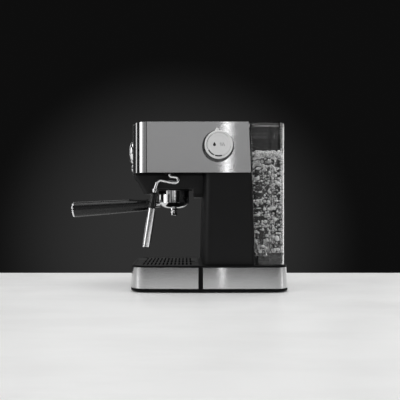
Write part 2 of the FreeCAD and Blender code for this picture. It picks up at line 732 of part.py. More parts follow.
# ---- pressure gauge ------------------------------------------------------------------------------
def gauge_turned(points):
    """An outline of (radius, distance behind the bezel's front edge) about the gauge's axis."""
    front = FASCIA_MIDDLE - GAUGE_PROUD
    return turned(points, V(0, front, GAUGE_HEIGHT), Y_AXIS)


def gauge_case():
    back = GAUGE_PROUD + GAUGE_CASE_DEPTH
    wall = 1.2
    points = [
        (0, back), (0, back - wall), (GAUGE_CASE_RADIUS - wall, back - wall),
        (GAUGE_CASE_RADIUS - wall, 5.2), (GAUGE_CASE_RADIUS, 5.2), (GAUGE_CASE_RADIUS, back),
    ]
    stem = rod(3.0, V(0, FASCIA_MIDDLE - GAUGE_PROUD + back - 0.5, GAUGE_HEIGHT),
               V(0, FASCIA_MIDDLE - GAUGE_PROUD + back + 8, GAUGE_HEIGHT))
    return gauge_turned(points).fuse(stem)


def gauge_bezel():
    """The chrome ring: its face curves back from the window to the fascia."""
    centre = V(0, FASCIA_MIDDLE - GAUGE_PROUD, GAUGE_HEIGHT)
    rise = GAUGE_PROUD - 0.15
    mid = 0.72
    start = V(GAUGE_WINDOW, 0, 0)
    lip = V(GAUGE_WINDOW + 0.8, 0, 0)
    edge = V(GAUGE_RADIUS, 0, rise - 1.2)
    bulge = V(GAUGE_WINDOW + 0.8 + (GAUGE_RADIUS - GAUGE_WINDOW - 0.8) * mid, 0, (rise - 1.2) * 0.32)
    edges = [
        Part.LineSegment(start, lip).toShape(),
        Part.Arc(lip, bulge, edge).toShape(),
        Part.LineSegment(edge, V(GAUGE_RADIUS, 0, rise)).toShape(),
        Part.LineSegment(V(GAUGE_RADIUS, 0, rise), V(GAUGE_CASE_RADIUS + TOUCH_GAP, 0, rise)).toShape(),
        Part.LineSegment(
            V(GAUGE_CASE_RADIUS + TOUCH_GAP, 0, rise), V(GAUGE_CASE_RADIUS + TOUCH_GAP, 0, 5.0)
        ).toShape(),
        Part.LineSegment(V(GAUGE_CASE_RADIUS + TOUCH_GAP, 0, 5.0), V(GAUGE_WINDOW, 0, 5.0)).toShape(),
        Part.LineSegment(V(GAUGE_WINDOW, 0, 5.0), start).toShape(),
    ]
    solid = Part.Face(Part.Wire(edges)).revolve(V(0, 0, 0), Z_AXIS, 360)
    return placed(solid, centre, Y_AXIS)


def gauge_lens():
    return gauge_turned([(0, 1.6), (GAUGE_WINDOW - 0.05, 2.4), (GAUGE_WINDOW - 0.05, 3.8), (0, 3.0)])


def gauge_dial():
    outline = [(1.2, 8.2), (GAUGE_CASE_RADIUS - 1.3, 8.2), (GAUGE_CASE_RADIUS - 1.3, 9.0), (1.2, 9.0)]
    return gauge_turned(outline)


def gauge_needle():
    """The pointer on its arbor, at rest at the lower left of the dial."""
    front = FASCIA_MIDDLE - GAUGE_PROUD
    hub = rod(1.8, V(0, front + 6.0, GAUGE_HEIGHT), V(0, front + 7.6, GAUGE_HEIGHT))
    arbor = rod(1.0, V(0, front + 6.0, GAUGE_HEIGHT), V(0, front + 20, GAUGE_HEIGHT))
    blade = [V(-0.9, 0, -3.5), V(0.9, 0, -3.5), V(0.3, 0, 12.5), V(-0.3, 0, 12.5)]
    plate = Part.Face(Part.makePolygon(blade + blade[:1])).extrude(V(0, 0.6, 0))
    plate.rotate(V(0, 0, 0), Y_AXIS, -135)
    plate.translate(V(0, front + 6.6, GAUGE_HEIGHT))
    return fused([hub, arbor, plate])


# ---- buttons -------------------------------------------------------------------------------------
def button(x):
    """A round push button with a shallow dish in its face."""
    front = fascia_front_at(x) - BUTTON_PROUD
    depth = 15.0
    profile = [
        (0, 0.7), (BUTTON_RADIUS - 1.6, 0.2), (BUTTON_RADIUS - 0.7, 0.0), (BUTTON_RADIUS, 0.7),
        (BUTTON_RADIUS, depth - 5), (2.6, depth - 5), (2.6, depth), (0, depth),
    ]
    return turned(profile, V(x, front, BUTTON_HEIGHT), Y_AXIS)


def button_rings():
    rings = []
    for x in BUTTON_PLACES:
        front = fascia_front_at(max(0.0, abs(x) - BUTTON_RING_RADIUS)) - RING_LIP - TOUCH_GAP
        reach = FASCIA_BACK - front
        inner = BUTTON_RADIUS + 0.3
        outer = BUTTON_RADIUS + 0.9
        profile = [
            (inner, 0.4), (inner + 0.5, 0.0), (BUTTON_RING_RADIUS - 0.4, 0.0), (BUTTON_RING_RADIUS, 0.4),
            (BUTTON_RING_RADIUS, RING_LIP), (outer, RING_LIP), (outer, reach), (inner, reach),
        ]
        rings.append(turned(profile, V(x, front, BUTTON_HEIGHT), Y_AXIS))
    return group_of(rings)


def button_switches():
    """Three microswitches on their small board, just behind the buttons' stems."""
    pieces = []
    plunger_gap = BUTTON_TRAVEL + 0.5
    tips = [fascia_front_at(x) - BUTTON_PROUD + 15.0 + plunger_gap for x in BUTTON_PLACES]
    back = max(tips) + 8.0
    for x, tip in zip(BUTTON_PLACES, tips):
        pieces.append(box(x - 5, x + 5, tip, back, BUTTON_HEIGHT - 5, BUTTON_HEIGHT + 5))
    board = box(-45, 45, back + TOUCH_GAP, back + TOUCH_GAP + 1.6, BUTTON_HEIGHT - 7, BUTTON_HEIGHT + 7)
    return group_of(pieces + [board])


# ---- brew group ----------------------------------------------------------------------------------
GASKET_TOP = BOWL_RIM + 1.2 + MOVE_GAP + 6.0


def group_collar():
    """The bayonet ring: a groove that the portafilter's ears turn in, with two gates through its lip."""
    bore = BOWL_RADIUS + 0.5
    profile = [
        (bore, COLLAR_BOTTOM), (COLLAR_RADIUS - 1.5, COLLAR_BOTTOM), (COLLAR_RADIUS, COLLAR_BOTTOM + 1.5),
        (COLLAR_RADIUS, COLLAR_TOP), (bore + 0.6, COLLAR_TOP), (bore + 0.6, BOWL_RIM - 0.6),
        (GROOVE_RADIUS, BOWL_RIM - 0.6), (GROOVE_RADIUS, LIP_TOP), (bore, LIP_TOP),
    ]
    ring = turned(profile, V(0, 0, 0), Z_AXIS)
    gates = []
    for side in (-1, 1):
        gate = box(side * 24 - 12, side * 24 + 12, -EAR_WIDTH / 2 - 1, EAR_WIDTH / 2 + 1, COLLAR_BOTTOM - 1, LIP_TOP + 1)
        gate = gate.common(rod(GROOVE_RADIUS, V(0, 0, COLLAR_BOTTOM - 1), V(0, 0, LIP_TOP + 1)))
        gate.rotate(V(0, 0, 0), Z_AXIS, -45)
        gates.append(gate)
    return ring.cut(gates)


def group_gasket():
    low = BOWL_RIM + 1.2 + MOVE_GAP
    return pipe(BOWL_RADIUS + 0.2, SCREEN_RADIUS + 0.6, V(0, 0, low), V(0, 0, GASKET_TOP))


def group_head():
    """The cast head above the collar, with the gasket's seat and the water's way down."""
    low = COLLAR_TOP + TOUCH_GAP
    block = rod(COLLAR_RADIUS, V(0, 0, low), V(0, 0, THERMO_BOTTOM - TOUCH_GAP))
    seat = pipe(BOWL_RADIUS + 1.0, SCREEN_RADIUS + 0.4, V(0, 0, low - 1), V(0, 0, GASKET_TOP + TOUCH_GAP))
    core = rod(SCREEN_RADIUS + 0.2, V(0, 0, BOWL_RIM + 6.0), V(0, 0, low))
    water = rod(2.0, V(6, 0, BOWL_BOTTOM), V(6, 0, THERMO_BOTTOM + 1))
    thread = rod(2.1, V(0, 0, BOWL_BOTTOM), V(0, 0, BOWL_RIM + 18))
    return block.cut(seat).fuse(core).cut([water, thread]).removeSplitter()


def shower_screen():
    """The pierced disc that spreads the water over the coffee."""
    top = BOWL_RIM + 6.0 - TOUCH_GAP
    low = BOWL_RIM + 3.4
    disc = rod(SCREEN_RADIUS, V(0, 0, low), V(0, 0, top)).cut(rod(SCREEN_RADIUS - 1.2, V(0, 0, low + 0.8), V(0, 0, top)))
    holes = [rod(2.2, V(0, 0, low - 1), V(0, 0, top + 1))]
    for count, radius in ((8, 7.0), (14, 12.5), (20, 18.0)):
        for i in range(count):
            turn = 2 * math.pi * i / count
            at = V(radius * math.cos(turn), radius * math.sin(turn), 0)
            holes.append(rod(0.8, at + V(0, 0, low - 1), at + V(0, 0, top + 1)))
    return disc.cut(holes)


def screen_screw():
    low = BOWL_RIM + 3.4
    head = rod(4.0, V(0, 0, low - 1.6), V(0, 0, low - TOUCH_GAP))
    shank = rod(2.0, V(0, 0, low - 0.5), V(0, 0, BOWL_RIM + 17.5))
    return head.fuse(shank).cut(box(-3.2, 3.2, -0.5, 0.5, low - 2, low - 1))


THERMO_BOTTOM = HEAD_BOTTOM + 9.0
THERMO_TOP = HEAD_BOTTOM + 43.0
THERMO_HALF = 46.0
THERMO_FRONT = -30.0
THERMO_REAR = 46.0
WATER_Z = THERMO_BOTTOM + 14.0
STEAM_Z = THERMO_BOTTOM + 18.0


def thermoblock():
    """The cast heater block over the group, with its two heater terminals and cooling ribs."""
    block = box(-THERMO_HALF, THERMO_HALF, THERMO_FRONT, THERMO_REAR, THERMO_BOTTOM, THERMO_TOP - 8)
    block = block.makeFillet(8.0, [e for e in block.Edges if is_post(e)])
    ribs = []
    for i in range(6):
        x = -THERMO_HALF + 14 + i * (2 * THERMO_HALF - 28) / 5
        ribs.append(box(x - 2, x + 2, THERMO_FRONT + 8, THERMO_REAR - 8, THERMO_TOP - 8.5, THERMO_TOP))
    inlet = rod(4.0, V(0, THERMO_REAR - 1, WATER_Z), V(0, THERMO_REAR + 6, WATER_Z))
    outlet = rod(STUB_RADIUS, V(30, THERMO_REAR - 1, STEAM_Z), V(30, THERMO_REAR + 6, STEAM_Z))
    ends = (THERMO_FRONT - 9, THERMO_FRONT + 1)
    terminals = [rod(3.2, V(s * 36, ends[0], WATER_Z), V(s * 36, ends[1], WATER_Z)) for s in (-1, 1)]
    water = rod(2.0, V(6, 0, THERMO_BOTTOM - 22), V(6, 0, THERMO_BOTTOM + 12))
    return fused([block] + ribs + [inlet, outlet] + terminals).cut(water)


def thermostats():
    """Two snap thermostats on the heater block's side."""
    pieces = []
    for y in (-8, 24):
        side = -THERMO_HALF - TOUCH_GAP
        body = rod(7.0, V(side, y, WATER_Z), V(side - 6, y, WATER_Z))
        low, high = WATER_Z - 0.4, WATER_Z + 0.4
        tabs = [box(side - 13, side - 6, y + s * 3 - 1.5, y + s * 3 + 1.5, low, high) for s in (-1, 1)]
        pieces.append(body.fuse(tabs))
    return group_of(pieces)


# ---- portafilter ---------------------------------------------------------------------------------
def handle_axis():
    """Unit vector along the handle, from its root to its tip."""
    tip = V(0, -HANDLE_REACH, HANDLE_TIP_HEIGHT)
    root = V(0, -HANDLE_ROOT, HANDLE_ROOT_HEIGHT)
    return (tip - root).normalize()


def on_handle(reach, lift=0.0):
    """A point on the handle's axis at a distance from the group axis, lifted square to the axis."""
    along = handle_axis()
    root = V(0, -HANDLE_ROOT, HANDLE_ROOT_HEIGHT)
    up = X_AXIS.cross(along) * -1
    if up.z < 0:
        up = up * -1
    return root + along * ((reach - HANDLE_ROOT) / -along.y) + up * lift


def handle_half_at(reach):
    """Radius of the grip at a distance from the group axis."""
    share = (reach - HANDLE_ROOT) / (HANDLE_REACH - HANDLE_CAP - HANDLE_ROOT)
    return HANDLE_ROOT_HALF + (HANDLE_TIP_HALF - HANDLE_ROOT_HALF) * share ** 0.6


def portafilter_bowl():
    """The chromed bowl with its two ears and the arm that the handle is screwed to."""
    outer_edges = [
        Part.LineSegment(V(0, 0, BOWL_BOTTOM), V(8, 0, BOWL_BOTTOM)).toShape(),
        Part.Arc(V(8, 0, BOWL_BOTTOM), V(BOWL_RADIUS - 7.0, 0, BOWL_BOTTOM + 3.8), V(BOWL_RADIUS, 0, BOWL_SIDE_BOTTOM)).toShape(),
        Part.LineSegment(V(BOWL_RADIUS, 0, BOWL_SIDE_BOTTOM), V(BOWL_RADIUS, 0, BOWL_RIM)).toShape(),
        Part.LineSegment(V(BOWL_RADIUS, 0, BOWL_RIM), V(0, 0, BOWL_RIM)).toShape(),
        Part.LineSegment(V(0, 0, BOWL_RIM), V(0, 0, BOWL_BOTTOM)).toShape(),
    ]
    body = Part.Face(Part.Wire(outer_edges)).revolve(V(0, 0, 0), Z_AXIS, 360)
    inner = BOWL_RADIUS - BOWL_WALL
    ears = []
    for side in (-1, 1):
        ear = box(min(0, side * 40), max(0, side * 40), -EAR_WIDTH / 2, EAR_WIDTH / 2, EAR_BOTTOM, EAR_BOTTOM + EAR_THICK)
        ears.append(ear.common(rod(EAR_RADIUS, V(0, 0, EAR_BOTTOM), V(0, 0, EAR_BOTTOM + EAR_THICK))))
    arm = rod(ARM_RADIUS, on_handle(BOWL_RADIUS - 3), on_handle(HANDLE_ROOT + 12))
    collar = rod(8.8, on_handle(HANDLE_ROOT - 5), on_handle(HANDLE_ROOT - 0.2))
    boss = rod(8.0, V(0, 0, BOWL_BOTTOM - 3.0), V(0, 0, BOWL_BOTTOM + 1))
    cavity = turned(
        [(0, BOWL_BOTTOM + 3), (8, BOWL_BOTTOM + 3), (inner - 3, BOWL_SIDE_BOTTOM + 2),
         (inner, BOWL_SIDE_BOTTOM + 5), (inner, BOWL_RIM + 1), (0, BOWL_RIM + 1)],
        V(0, 0, 0), Z_AXIS)
    drain = rod(3.0, V(0, 0, BOWL_BOTTOM - 6), V(0, 0, BOWL_BOTTOM + 6))
    return body.fuse(ears + [arm, collar, boss]).cut([cavity, drain]).removeSplitter()


def filter_basket():
    low = BOWL_RIM - BASKET_DEPTH
    top = BOWL_RIM + 1.1
    outline = [
        (0, low), (BASKET_RADIUS - 2, low), (BASKET_RADIUS, low + 2), (BASKET_RADIUS, BOWL_RIM + 0.1),
        (BOWL_RADIUS - 0.4, BOWL_RIM + 0.1), (BOWL_RADIUS - 0.4, top), (BASKET_RADIUS - BASKET_SHEET, top),
        (BASKET_RADIUS - BASKET_SHEET, low + 2.4), (BASKET_RADIUS - 2.4, low + BASKET_SHEET), (0, low + BASKET_SHEET),
    ]
    basket = turned(outline, V(0, 0, 0), Z_AXIS)
    holes = []
    for count, radius in ((1, 0.0), (6, 5.5), (12, 11.0), (18, 16.5), (24, 21.5)):
        for i in range(count):
            turn = 2 * math.pi * i / count
            at = V(radius * math.cos(turn), radius * math.sin(turn), 0)
            holes.append(rod(0.6, at + V(0, 0, low - 1), at + V(0, 0, low + 2)))
    return basket.cut(holes)


def portafilter_spout():
    """The twin spout under the bowl: two short arms that part to left and right and turn down."""
    top = BOWL_BOTTOM - 3.0 - TOUCH_GAP
    bend = top - SPOUT_RADIUS + 1.4
    outer = [rod(SPOUT_RADIUS, V(0, 0, top - 3.0), V(0, 0, top))]
    inner = [rod(SPOUT_BORE, V(0, 0, top - 3.5), V(0, 0, top + 1))]
    for side in (-1, 1):
        elbow = V(side * SPOUT_SPREAD, 0, bend)
        tip = V(side * SPOUT_SPREAD, 0, SPOUT_BOTTOM)
        middle = V(0, 0, bend)
        outer += [rod(SPOUT_RADIUS, middle, elbow), Part.makeSphere(SPOUT_RADIUS, elbow)]
        outer += [rod(SPOUT_RADIUS, elbow, tip)]
        inner += [rod(SPOUT_BORE, middle, elbow), Part.makeSphere(SPOUT_BORE, elbow)]
        inner += [rod(SPOUT_BORE + 0.4, elbow, tip - V(0, 0, 2))]
    body = outer[0].fuse(outer[1:]).cut(inner)
    body = body.cut(box(-50, 50, -50, 50, top, top + 20))
    return body.removeSplitter()





def portafilter_handle():
    """The moulded grip, thicker towards its tip, with two lugs and a pin for the retainer."""
    along = handle_axis()
    end = HANDLE_REACH - HANDLE_CAP
    run = (end - HANDLE_ROOT) / -along.y
    shares = (0.0, 0.08, 0.25, 0.5, 0.75, 1.0)
    curve = Part.BSplineCurve()
    curve.interpolate([V(handle_half_at(HANDLE_ROOT + (end - HANDLE_ROOT) * s), 0, run * s) for s in shares])
    edges = [
        curve.toShape(),
        Part.LineSegment(V(HANDLE_TIP_HALF, 0, run), V(0, 0, run)).toShape(),
        Part.LineSegment(V(0, 0, run), V(0, 0, 0)).toShape(),
        Part.LineSegment(V(0, 0, 0), V(HANDLE_ROOT_HALF, 0, 0)).toShape(),
    ]
    grip = Part.Face(Part.Wire(edges)).revolve(V(0, 0, 0), Z_AXIS, 360)
    grip = placed(grip, on_handle(HANDLE_ROOT), along)
    socket = rod(ARM_RADIUS + 0.15, on_handle(HANDLE_ROOT - 5), on_handle(HANDLE_ROOT + 12.3))
    wide = RETAINER_WIDTH / 2 + MOVE_GAP
    seat = retainer_seat()
    pin_z = seat + RETAINER_THICK / 2
    flat = box(-30, 30, -RETAINER_REACH - 1.0, -HANDLE_ROOT + 10, seat - 0.3, seat + 30)
    groove = rod(2.6, V(-30, -RETAINER_PIVOT, pin_z), V(30, -RETAINER_PIVOT, pin_z))
    lugs = []
    for side in (-1, 1):
        near = min(side * wide, side * (wide + RETAINER_LUG))
        lug = box(near, near + RETAINER_LUG, -RETAINER_PIVOT - 2.4, -RETAINER_PIVOT + 2.4, seat - 5, pin_z)
        lugs.append(lug.fuse(rod(2.4, V(near, -RETAINER_PIVOT, pin_z), V(near + RETAINER_LUG, -RETAINER_PIVOT, pin_z))))
    reach = wide + RETAINER_LUG / 2
    pin = rod(RETAINER_PIN_RADIUS, V(-reach, -RETAINER_PIVOT, pin_z), V(reach, -RETAINER_PIVOT, pin_z))
    return grip.cut([flat, groove]).fuse(lugs + [pin]).cut(socket).removeSplitter()


def retainer_seat():
    """Height of the flat on top of the handle's root that the retainer lies on."""
    return on_handle(RETAINER_REACH, handle_half_at(RETAINER_REACH)).z - 2.6


def handle_end_cap():
    """The chromed, domed cap in the handle's tip."""
    along = handle_axis()
    base = on_handle(HANDLE_REACH - HANDLE_CAP + TOUCH_GAP)
    radius = HANDLE_TIP_HALF - 0.3
    length = HANDLE_CAP - TOUCH_GAP
    rise = length - CAP_RIM
    ball = (radius ** 2 + rise ** 2) / (2 * rise)
    stub = Part.makeCylinder(radius, length + 1)
    dome = stub.common(Part.makeSphere(ball, V(0, 0, length - ball)))
    rim = [e for e in dome.Edges if abs(e.BoundBox.ZMin - CAP_RIM) < 0.01 and abs(e.BoundBox.ZMax - CAP_RIM) < 0.01]
    return placed_copy(dome.makeFillet(CAP_RIM * 0.9, rim), base, along)


def basket_retainer():
    """The flip lever that holds the basket while the grounds are knocked out."""
    seat = retainer_seat()
    half = RETAINER_WIDTH / 2
    far = -RETAINER_REACH
    top = seat + RETAINER_THICK
    pin_z = seat + RETAINER_THICK / 2
    plate = box(-half, half, far, -RETAINER_PIVOT, seat, top)
    tab = side_prism([(far, seat), (far + 9, seat), (far + 9, top), (far + 3, top + 1.4), (far, top + 1.4)], half)
    knuckle = rod(2.0, V(-half, -RETAINER_PIVOT, pin_z), V(half, -RETAINER_PIVOT, pin_z))
    bore = rod(RETAINER_PIN_RADIUS + RUN_GAP, V(-20, -RETAINER_PIVOT, pin_z), V(20, -RETAINER_PIVOT, pin_z))
    return fused([plate, tab, knuckle]).cut(bore)


# ---- steam valve and knob ------------------------------------------------------------------------
def knob_turned(points, start):
    return turned(points, V(start, KNOB_Y, KNOB_Z), X_AXIS)


def steam_knob_body():
    """The black body of the knob, flared towards the panel."""
    points = [
        (SPINDLE_RADIUS + 0.05, 0), (KNOB_BASE_RADIUS - 0.8, 0), (KNOB_BASE_RADIUS, 1.0), (KNOB_BASE_RADIUS, 3.0),
        (KNOB_FACE_RADIUS - 0.8, KNOB_BODY), (SPINDLE_RADIUS + 0.05, KNOB_BODY),
    ]
    body = knob_turned(points, HEAD_HALF + KNOB_GAP)
    pocket = knob_turned([(9, -1), (20, -1), (19, KNOB_BODY - 4), (9, KNOB_BODY - 4)], HEAD_HALF + KNOB_GAP)
    return body.cut(pocket)


def steam_knob_cap():
    """The bright face: a raised rim and bead round a shallow field, and the pointer on its edge."""
    start = HEAD_HALF + KNOB_GAP + KNOB_BODY + 0.02
    height = KNOB_CAP - 0.02
    field = height - KNOB_FIELD
    rim = KNOB_FACE_RADIUS
    points = [
        (0, 0), (rim - 0.6, 0), (rim, 0.6), (rim, height - 1.0), (rim - 1.0, height), (KNOB_RIM_INNER, height),
        (KNOB_RIM_INNER - 0.4, field), (KNOB_BEAD + 0.5, field), (KNOB_BEAD + 0.25, field + 0.3),
        (KNOB_BEAD - 0.25, field + 0.3), (KNOB_BEAD - 0.5, field), (0, field),
    ]
    disc = knob_turned(points, start)
    root, side, tip = rim - 2.6, 5.4, rim + KNOB_POINTER
    shoulder = tip - 1.6
    outline = [
        Part.LineSegment(V(0, side, root), V(0, -side, root)).toShape(),
        Part.LineSegment(V(0, -side, root), V(0, -2.0, shoulder)).toShape(),
        Part.Arc(V(0, -2.0, shoulder), V(0, 0, tip), V(0, 2.0, shoulder)).toShape(),
        Part.LineSegment(V(0, 2.0, shoulder), V(0, side, root)).toShape(),
    ]
    pointer = Part.Face(Part.Wire(outline)).extrude(V(height - 1.0, 0, 0))
    pointer.rotate(V(0, 0, 0), X_AXIS, KNOB_POINTER_TURN)
    pointer.translate(V(start, KNOB_Y, KNOB_Z))
    return disc.fuse(pointer).removeSplitter()


def steam_valve_spindle():
    end = HEAD_HALF + KNOB_GAP + KNOB_BODY - 1.0
    shaft = rod(SPINDLE_RADIUS, V(62, KNOB_Y, KNOB_Z), V(end, KNOB_Y, KNOB_Z))
    tip = Part.makeCone(0.8, SPINDLE_RADIUS, 3.0, V(59, KNOB_Y, KNOB_Z), X_AXIS)
    return fused([shaft, tip])


def steam_valve_body():
    """The brass valve behind the knob, with its inlet and outlet stubs."""
    body = rod(VALVE_BODY_RADIUS, V(48, KNOB_Y, KNOB_Z), V(80, KNOB_Y, KNOB_Z))
    nut = rod(7.0, V(80, KNOB_Y, KNOB_Z), V(HEAD_HALF - SHEET - 0.6, KNOB_Y, KNOB_Z))
    stubs = [rod(STUB_RADIUS, V(x, KNOB_Y - 18, KNOB_Z), V(x, KNOB_Y, KNOB_Z)) for x in (VALVE_INLET_X, WAND_X)]
    bore = rod(SPINDLE_RADIUS + RUN_GAP, V(57, KNOB_Y, KNOB_Z), V(100, KNOB_Y, KNOB_Z))
    return fused([body, nut] + stubs).cut(bore)


# ---- steam wand ----------------------------------------------------------------------------------
SOCKET_BOTTOM = HEAD_BOTTOM - 1.0
SOCKET_TOP = HEAD_BOTTOM + 14.0
BALL_HEIGHT = HEAD_BOTTOM + 6.0
BALL_RADIUS = 6.0


def wand_down():
    """Unit vector down the wand's straight part."""
    tilt = math.radians(WAND_TILT)
    return V(0, -math.sin(tilt), -math.cos(tilt))


def on_wand(level):
    """A point on the wand's straight axis at a height."""
    top = V(WAND_X, WAND_DROP_Y, GRIP_TOP)
    down = wand_down()
    return top + down * ((level - GRIP_TOP) / down.z)


def wand_socket():
    """The black bush in the cover that the wand's ball turns in."""
    body = rod(10.2, V(WAND_X, WAND_Y, SOCKET_BOTTOM), V(WAND_X, WAND_Y, SOCKET_TOP))
    cavity = rod(BALL_RADIUS + 0.3, V(WAND_X, WAND_Y, BALL_HEIGHT - 4.5), V(WAND_X, WAND_Y, BALL_HEIGHT + 6.5))
    mouth = rod(PIPE_RADIUS + 0.5, V(WAND_X, WAND_Y, SOCKET_BOTTOM - 1), V(WAND_X, WAND_Y, SOCKET_TOP + 1))
    return body.cut([cavity, mouth])





def wand_pipe():
    """The bent steel pipe from the ball to the nozzle, with the nut brazed on above the grip."""
    low, high, rear = WAND_LOOP_BOTTOM, WAND_LOOP_TOP, WAND_LOOP_REAR
    points = [
        V(WAND_X, WAND_Y, BALL_HEIGHT),
        V(WAND_X, WAND_Y, high),
        V(WAND_X, rear, high - 1.2),
        V(WAND_X, rear - 1.2, low - 0.4),
        V(WAND_X, rear - 12.6, low),
        V(WAND_X, WAND_DROP_Y + 6.2, low + 5.4),
        on_wand(GRIP_TOP + 5.0),
        on_wand(GRIP_TOP - GRIP_LENGTH - 12.0),
    ]
    path = bent_path(points, [3.6, 5.0, 4.6, 20.0, 8.0, 30.0])
    tube = swept(path, PIPE_RADIUS)
    ball = Part.makeSphere(BALL_RADIUS, V(WAND_X, WAND_Y, BALL_HEIGHT))
    ball = ball.common(box(0, 200, -100, 100, BALL_HEIGHT - 4.2, BALL_HEIGHT + 6))
    mouth = rod(PIPE_RADIUS - PIPE_WALL, V(WAND_X, WAND_Y, BALL_HEIGHT - 1), V(WAND_X, WAND_Y, BALL_HEIGHT + 10))
    return tube.fuse([ball, wand_nut()]).cut([swept(path, PIPE_RADIUS - PIPE_WALL), mouth]).removeSplitter()


def wand_nut():
    """The nut and ferrule brazed to the pipe where it enters the grip."""
    up = wand_down() * -1
    low = on_wand(GRIP_TOP) + up * 0.3
    return rod(4.9, low + up * 3.4, low + up * 6.4).fuse(rod(4.1, low, low + up * 3.4))


def wand_grip():
    """The black grip that the wand is swung by, with two ribs and a finger tab."""
    down = wand_down()
    start = on_wand(GRIP_TOP)
    points = [
        (PIPE_RADIUS + 0.15, 0), (4.6, 0), (GRIP_RADIUS, 2.4), (GRIP_RADIUS, 6.0), (GRIP_RADIUS - 1.2, 7.0),
        (GRIP_RADIUS - 1.2, 19.0), (GRIP_RADIUS, 20.0), (GRIP_RADIUS, GRIP_LENGTH - 3.0),
        (GRIP_RADIUS - 1.6, GRIP_LENGTH - 1.0), (GRIP_RADIUS - 1.6, GRIP_LENGTH), (PIPE_RADIUS + 0.15, GRIP_LENGTH),
    ]
    return turned(points, start, down)


def frother_nozzle():
    """The inner nozzle that the sleeve slides over, with its O-ring groove."""
    down = wand_down()
    start = on_wand(GRIP_TOP) + down * (GRIP_LENGTH + TOUCH_GAP)
    inner = SLEEVE_RADIUS - SLEEVE_WALL - 0.35
    points = [
        (PIPE_RADIUS + 0.15, 0), (inner, 0), (inner, 4.0), (inner - 0.8, 4.4), (inner - 0.8, 5.6), (inner, 6.0),
        (inner, 11.0), (inner - 2.0, 13.0), (PIPE_RADIUS + 0.15, 13.0),
    ]
    return turned(points, start, down)


def frother_sleeve():
    """The stainless sleeve with its air hole; it pulls off downwards for cleaning."""
    down = wand_down()
    start = on_wand(GRIP_TOP) + down * (GRIP_LENGTH + 1.0)
    r = SLEEVE_RADIUS
    inner = r - SLEEVE_WALL
    points = [
        (inner, 0), (r, 0), (r, SLEEVE_LENGTH - 1.2), (r - 1.2, SLEEVE_LENGTH), (3.0, SLEEVE_LENGTH),
        (3.0, SLEEVE_LENGTH - 1.0), (inner - 0.6, SLEEVE_LENGTH - 1.0), (inner, SLEEVE_LENGTH - 1.8),
    ]
    sleeve = turned(points, start, down)
    hole_at = start + down * 22.0
    return sleeve.cut(rod(1.2, hole_at, hole_at + V(20, 0, 0)))


# ---- water tank ----------------------------------------------------------------------------------
def tank_wire(inset, level, extra=0.0):
    front = tank_front_at(level) + inset - extra
    return plan_wire(
        TANK_HALF - inset + extra, front, TANK_REAR - inset + extra, TANK_RADIUS - inset, TANK_RADIUS - inset, level
    )


def tank_block(inset, low, high):
    return tapered(tank_wire(inset, low), tank_wire(inset, high))


def water_tank():
    """The clear tank: a tall vessel on a hollow skirt, with the outlet's tube under its floor."""
    outer = tank_block(0.0, TANK_BOTTOM, TANK_TOP)
    vessel = tank_block(TANK_WALL, TANK_FLOOR_TOP, TANK_TOP + 1)
    skirt = tank_block(TANK_WALL, TANK_BOTTOM - 1, TANK_FLOOR_TOP - TANK_WALL)
    tube = rod(VALVE_RADIUS, V(0, VALVE_Y, TANK_BOTTOM + 3.0), V(0, VALVE_Y, TANK_FLOOR_TOP - 1))
    bore = rod(VALVE_RADIUS - 2.2, V(0, VALVE_Y, TANK_BOTTOM), V(0, VALVE_Y, TANK_FLOOR_TOP - TANK_WALL))
    drain = rod(PLUNGER_RADIUS + 2.4, V(0, VALVE_Y, TANK_BOTTOM), V(0, VALVE_Y, TANK_FLOOR_TOP + 1))
    lugs = []
    for side in (-1, 1):
        near = min(side * (LID_KNUCKLE_HALF + MOVE_GAP), side * (LID_KNUCKLE_HALF + MOVE_GAP + LID_LUG))
        block = box(near, near + LID_LUG, TANK_REAR - 1, LID_PIVOT_Y + LID_KNUCKLE_RADIUS, TANK_TOP - 8, TANK_TOP)
        lugs += [block, rod(LID_KNUCKLE_RADIUS, V(near, LID_PIVOT_Y, LID_PIVOT_Z), V(near + LID_LUG, LID_PIVOT_Y, LID_PIVOT_Z))]
    body = outer.cut([vessel, skirt]).fuse([tube] + lugs).cut([bore, drain])
    return body.cut(lid_pin_tool(LID_PIN_RADIUS + RUN_GAP)).removeSplitter()


LID_PIVOT_Y = TANK_REAR + LID_KNUCKLE_RADIUS + MOVE_GAP
LID_PIVOT_Z = TANK_TOP + MOVE_GAP / 2


def lid_pin_tool(radius):
    span = LID_KNUCKLE_HALF + MOVE_GAP + LID_LUG - 1.0
    return rod(radius, V(-span, LID_PIVOT_Y, LID_PIVOT_Z), V(span, LID_PIVOT_Y, LID_PIVOT_Z))


def tank_lid():
    """The clear lid, hinged behind the tank's rear wall, with a finger notch in its front."""
    low = TANK_TOP + MOVE_GAP
    top = low + LID_HEIGHT - MOVE_GAP
    cap = tapered(tank_wire(0.0, low), tank_wire(1.2, top))
    hollow = tapered(tank_wire(TANK_WALL, low - 1), tank_wire(TANK_WALL, top - 2.0))
    lid = cap.cut(hollow)
    half = LID_KNUCKLE_HALF
    web = box(-half, half, TANK_REAR - 1, LID_PIVOT_Y, low, low + 2.0)
    knuckle = rod(LID_KNUCKLE_RADIUS, V(-half, LID_PIVOT_Y, LID_PIVOT_Z), V(half, LID_PIVOT_Y, LID_PIVOT_Z))
    return lid.fuse([web, knuckle, lid_pin_tool(LID_PIN_RADIUS)]).removeSplitter()


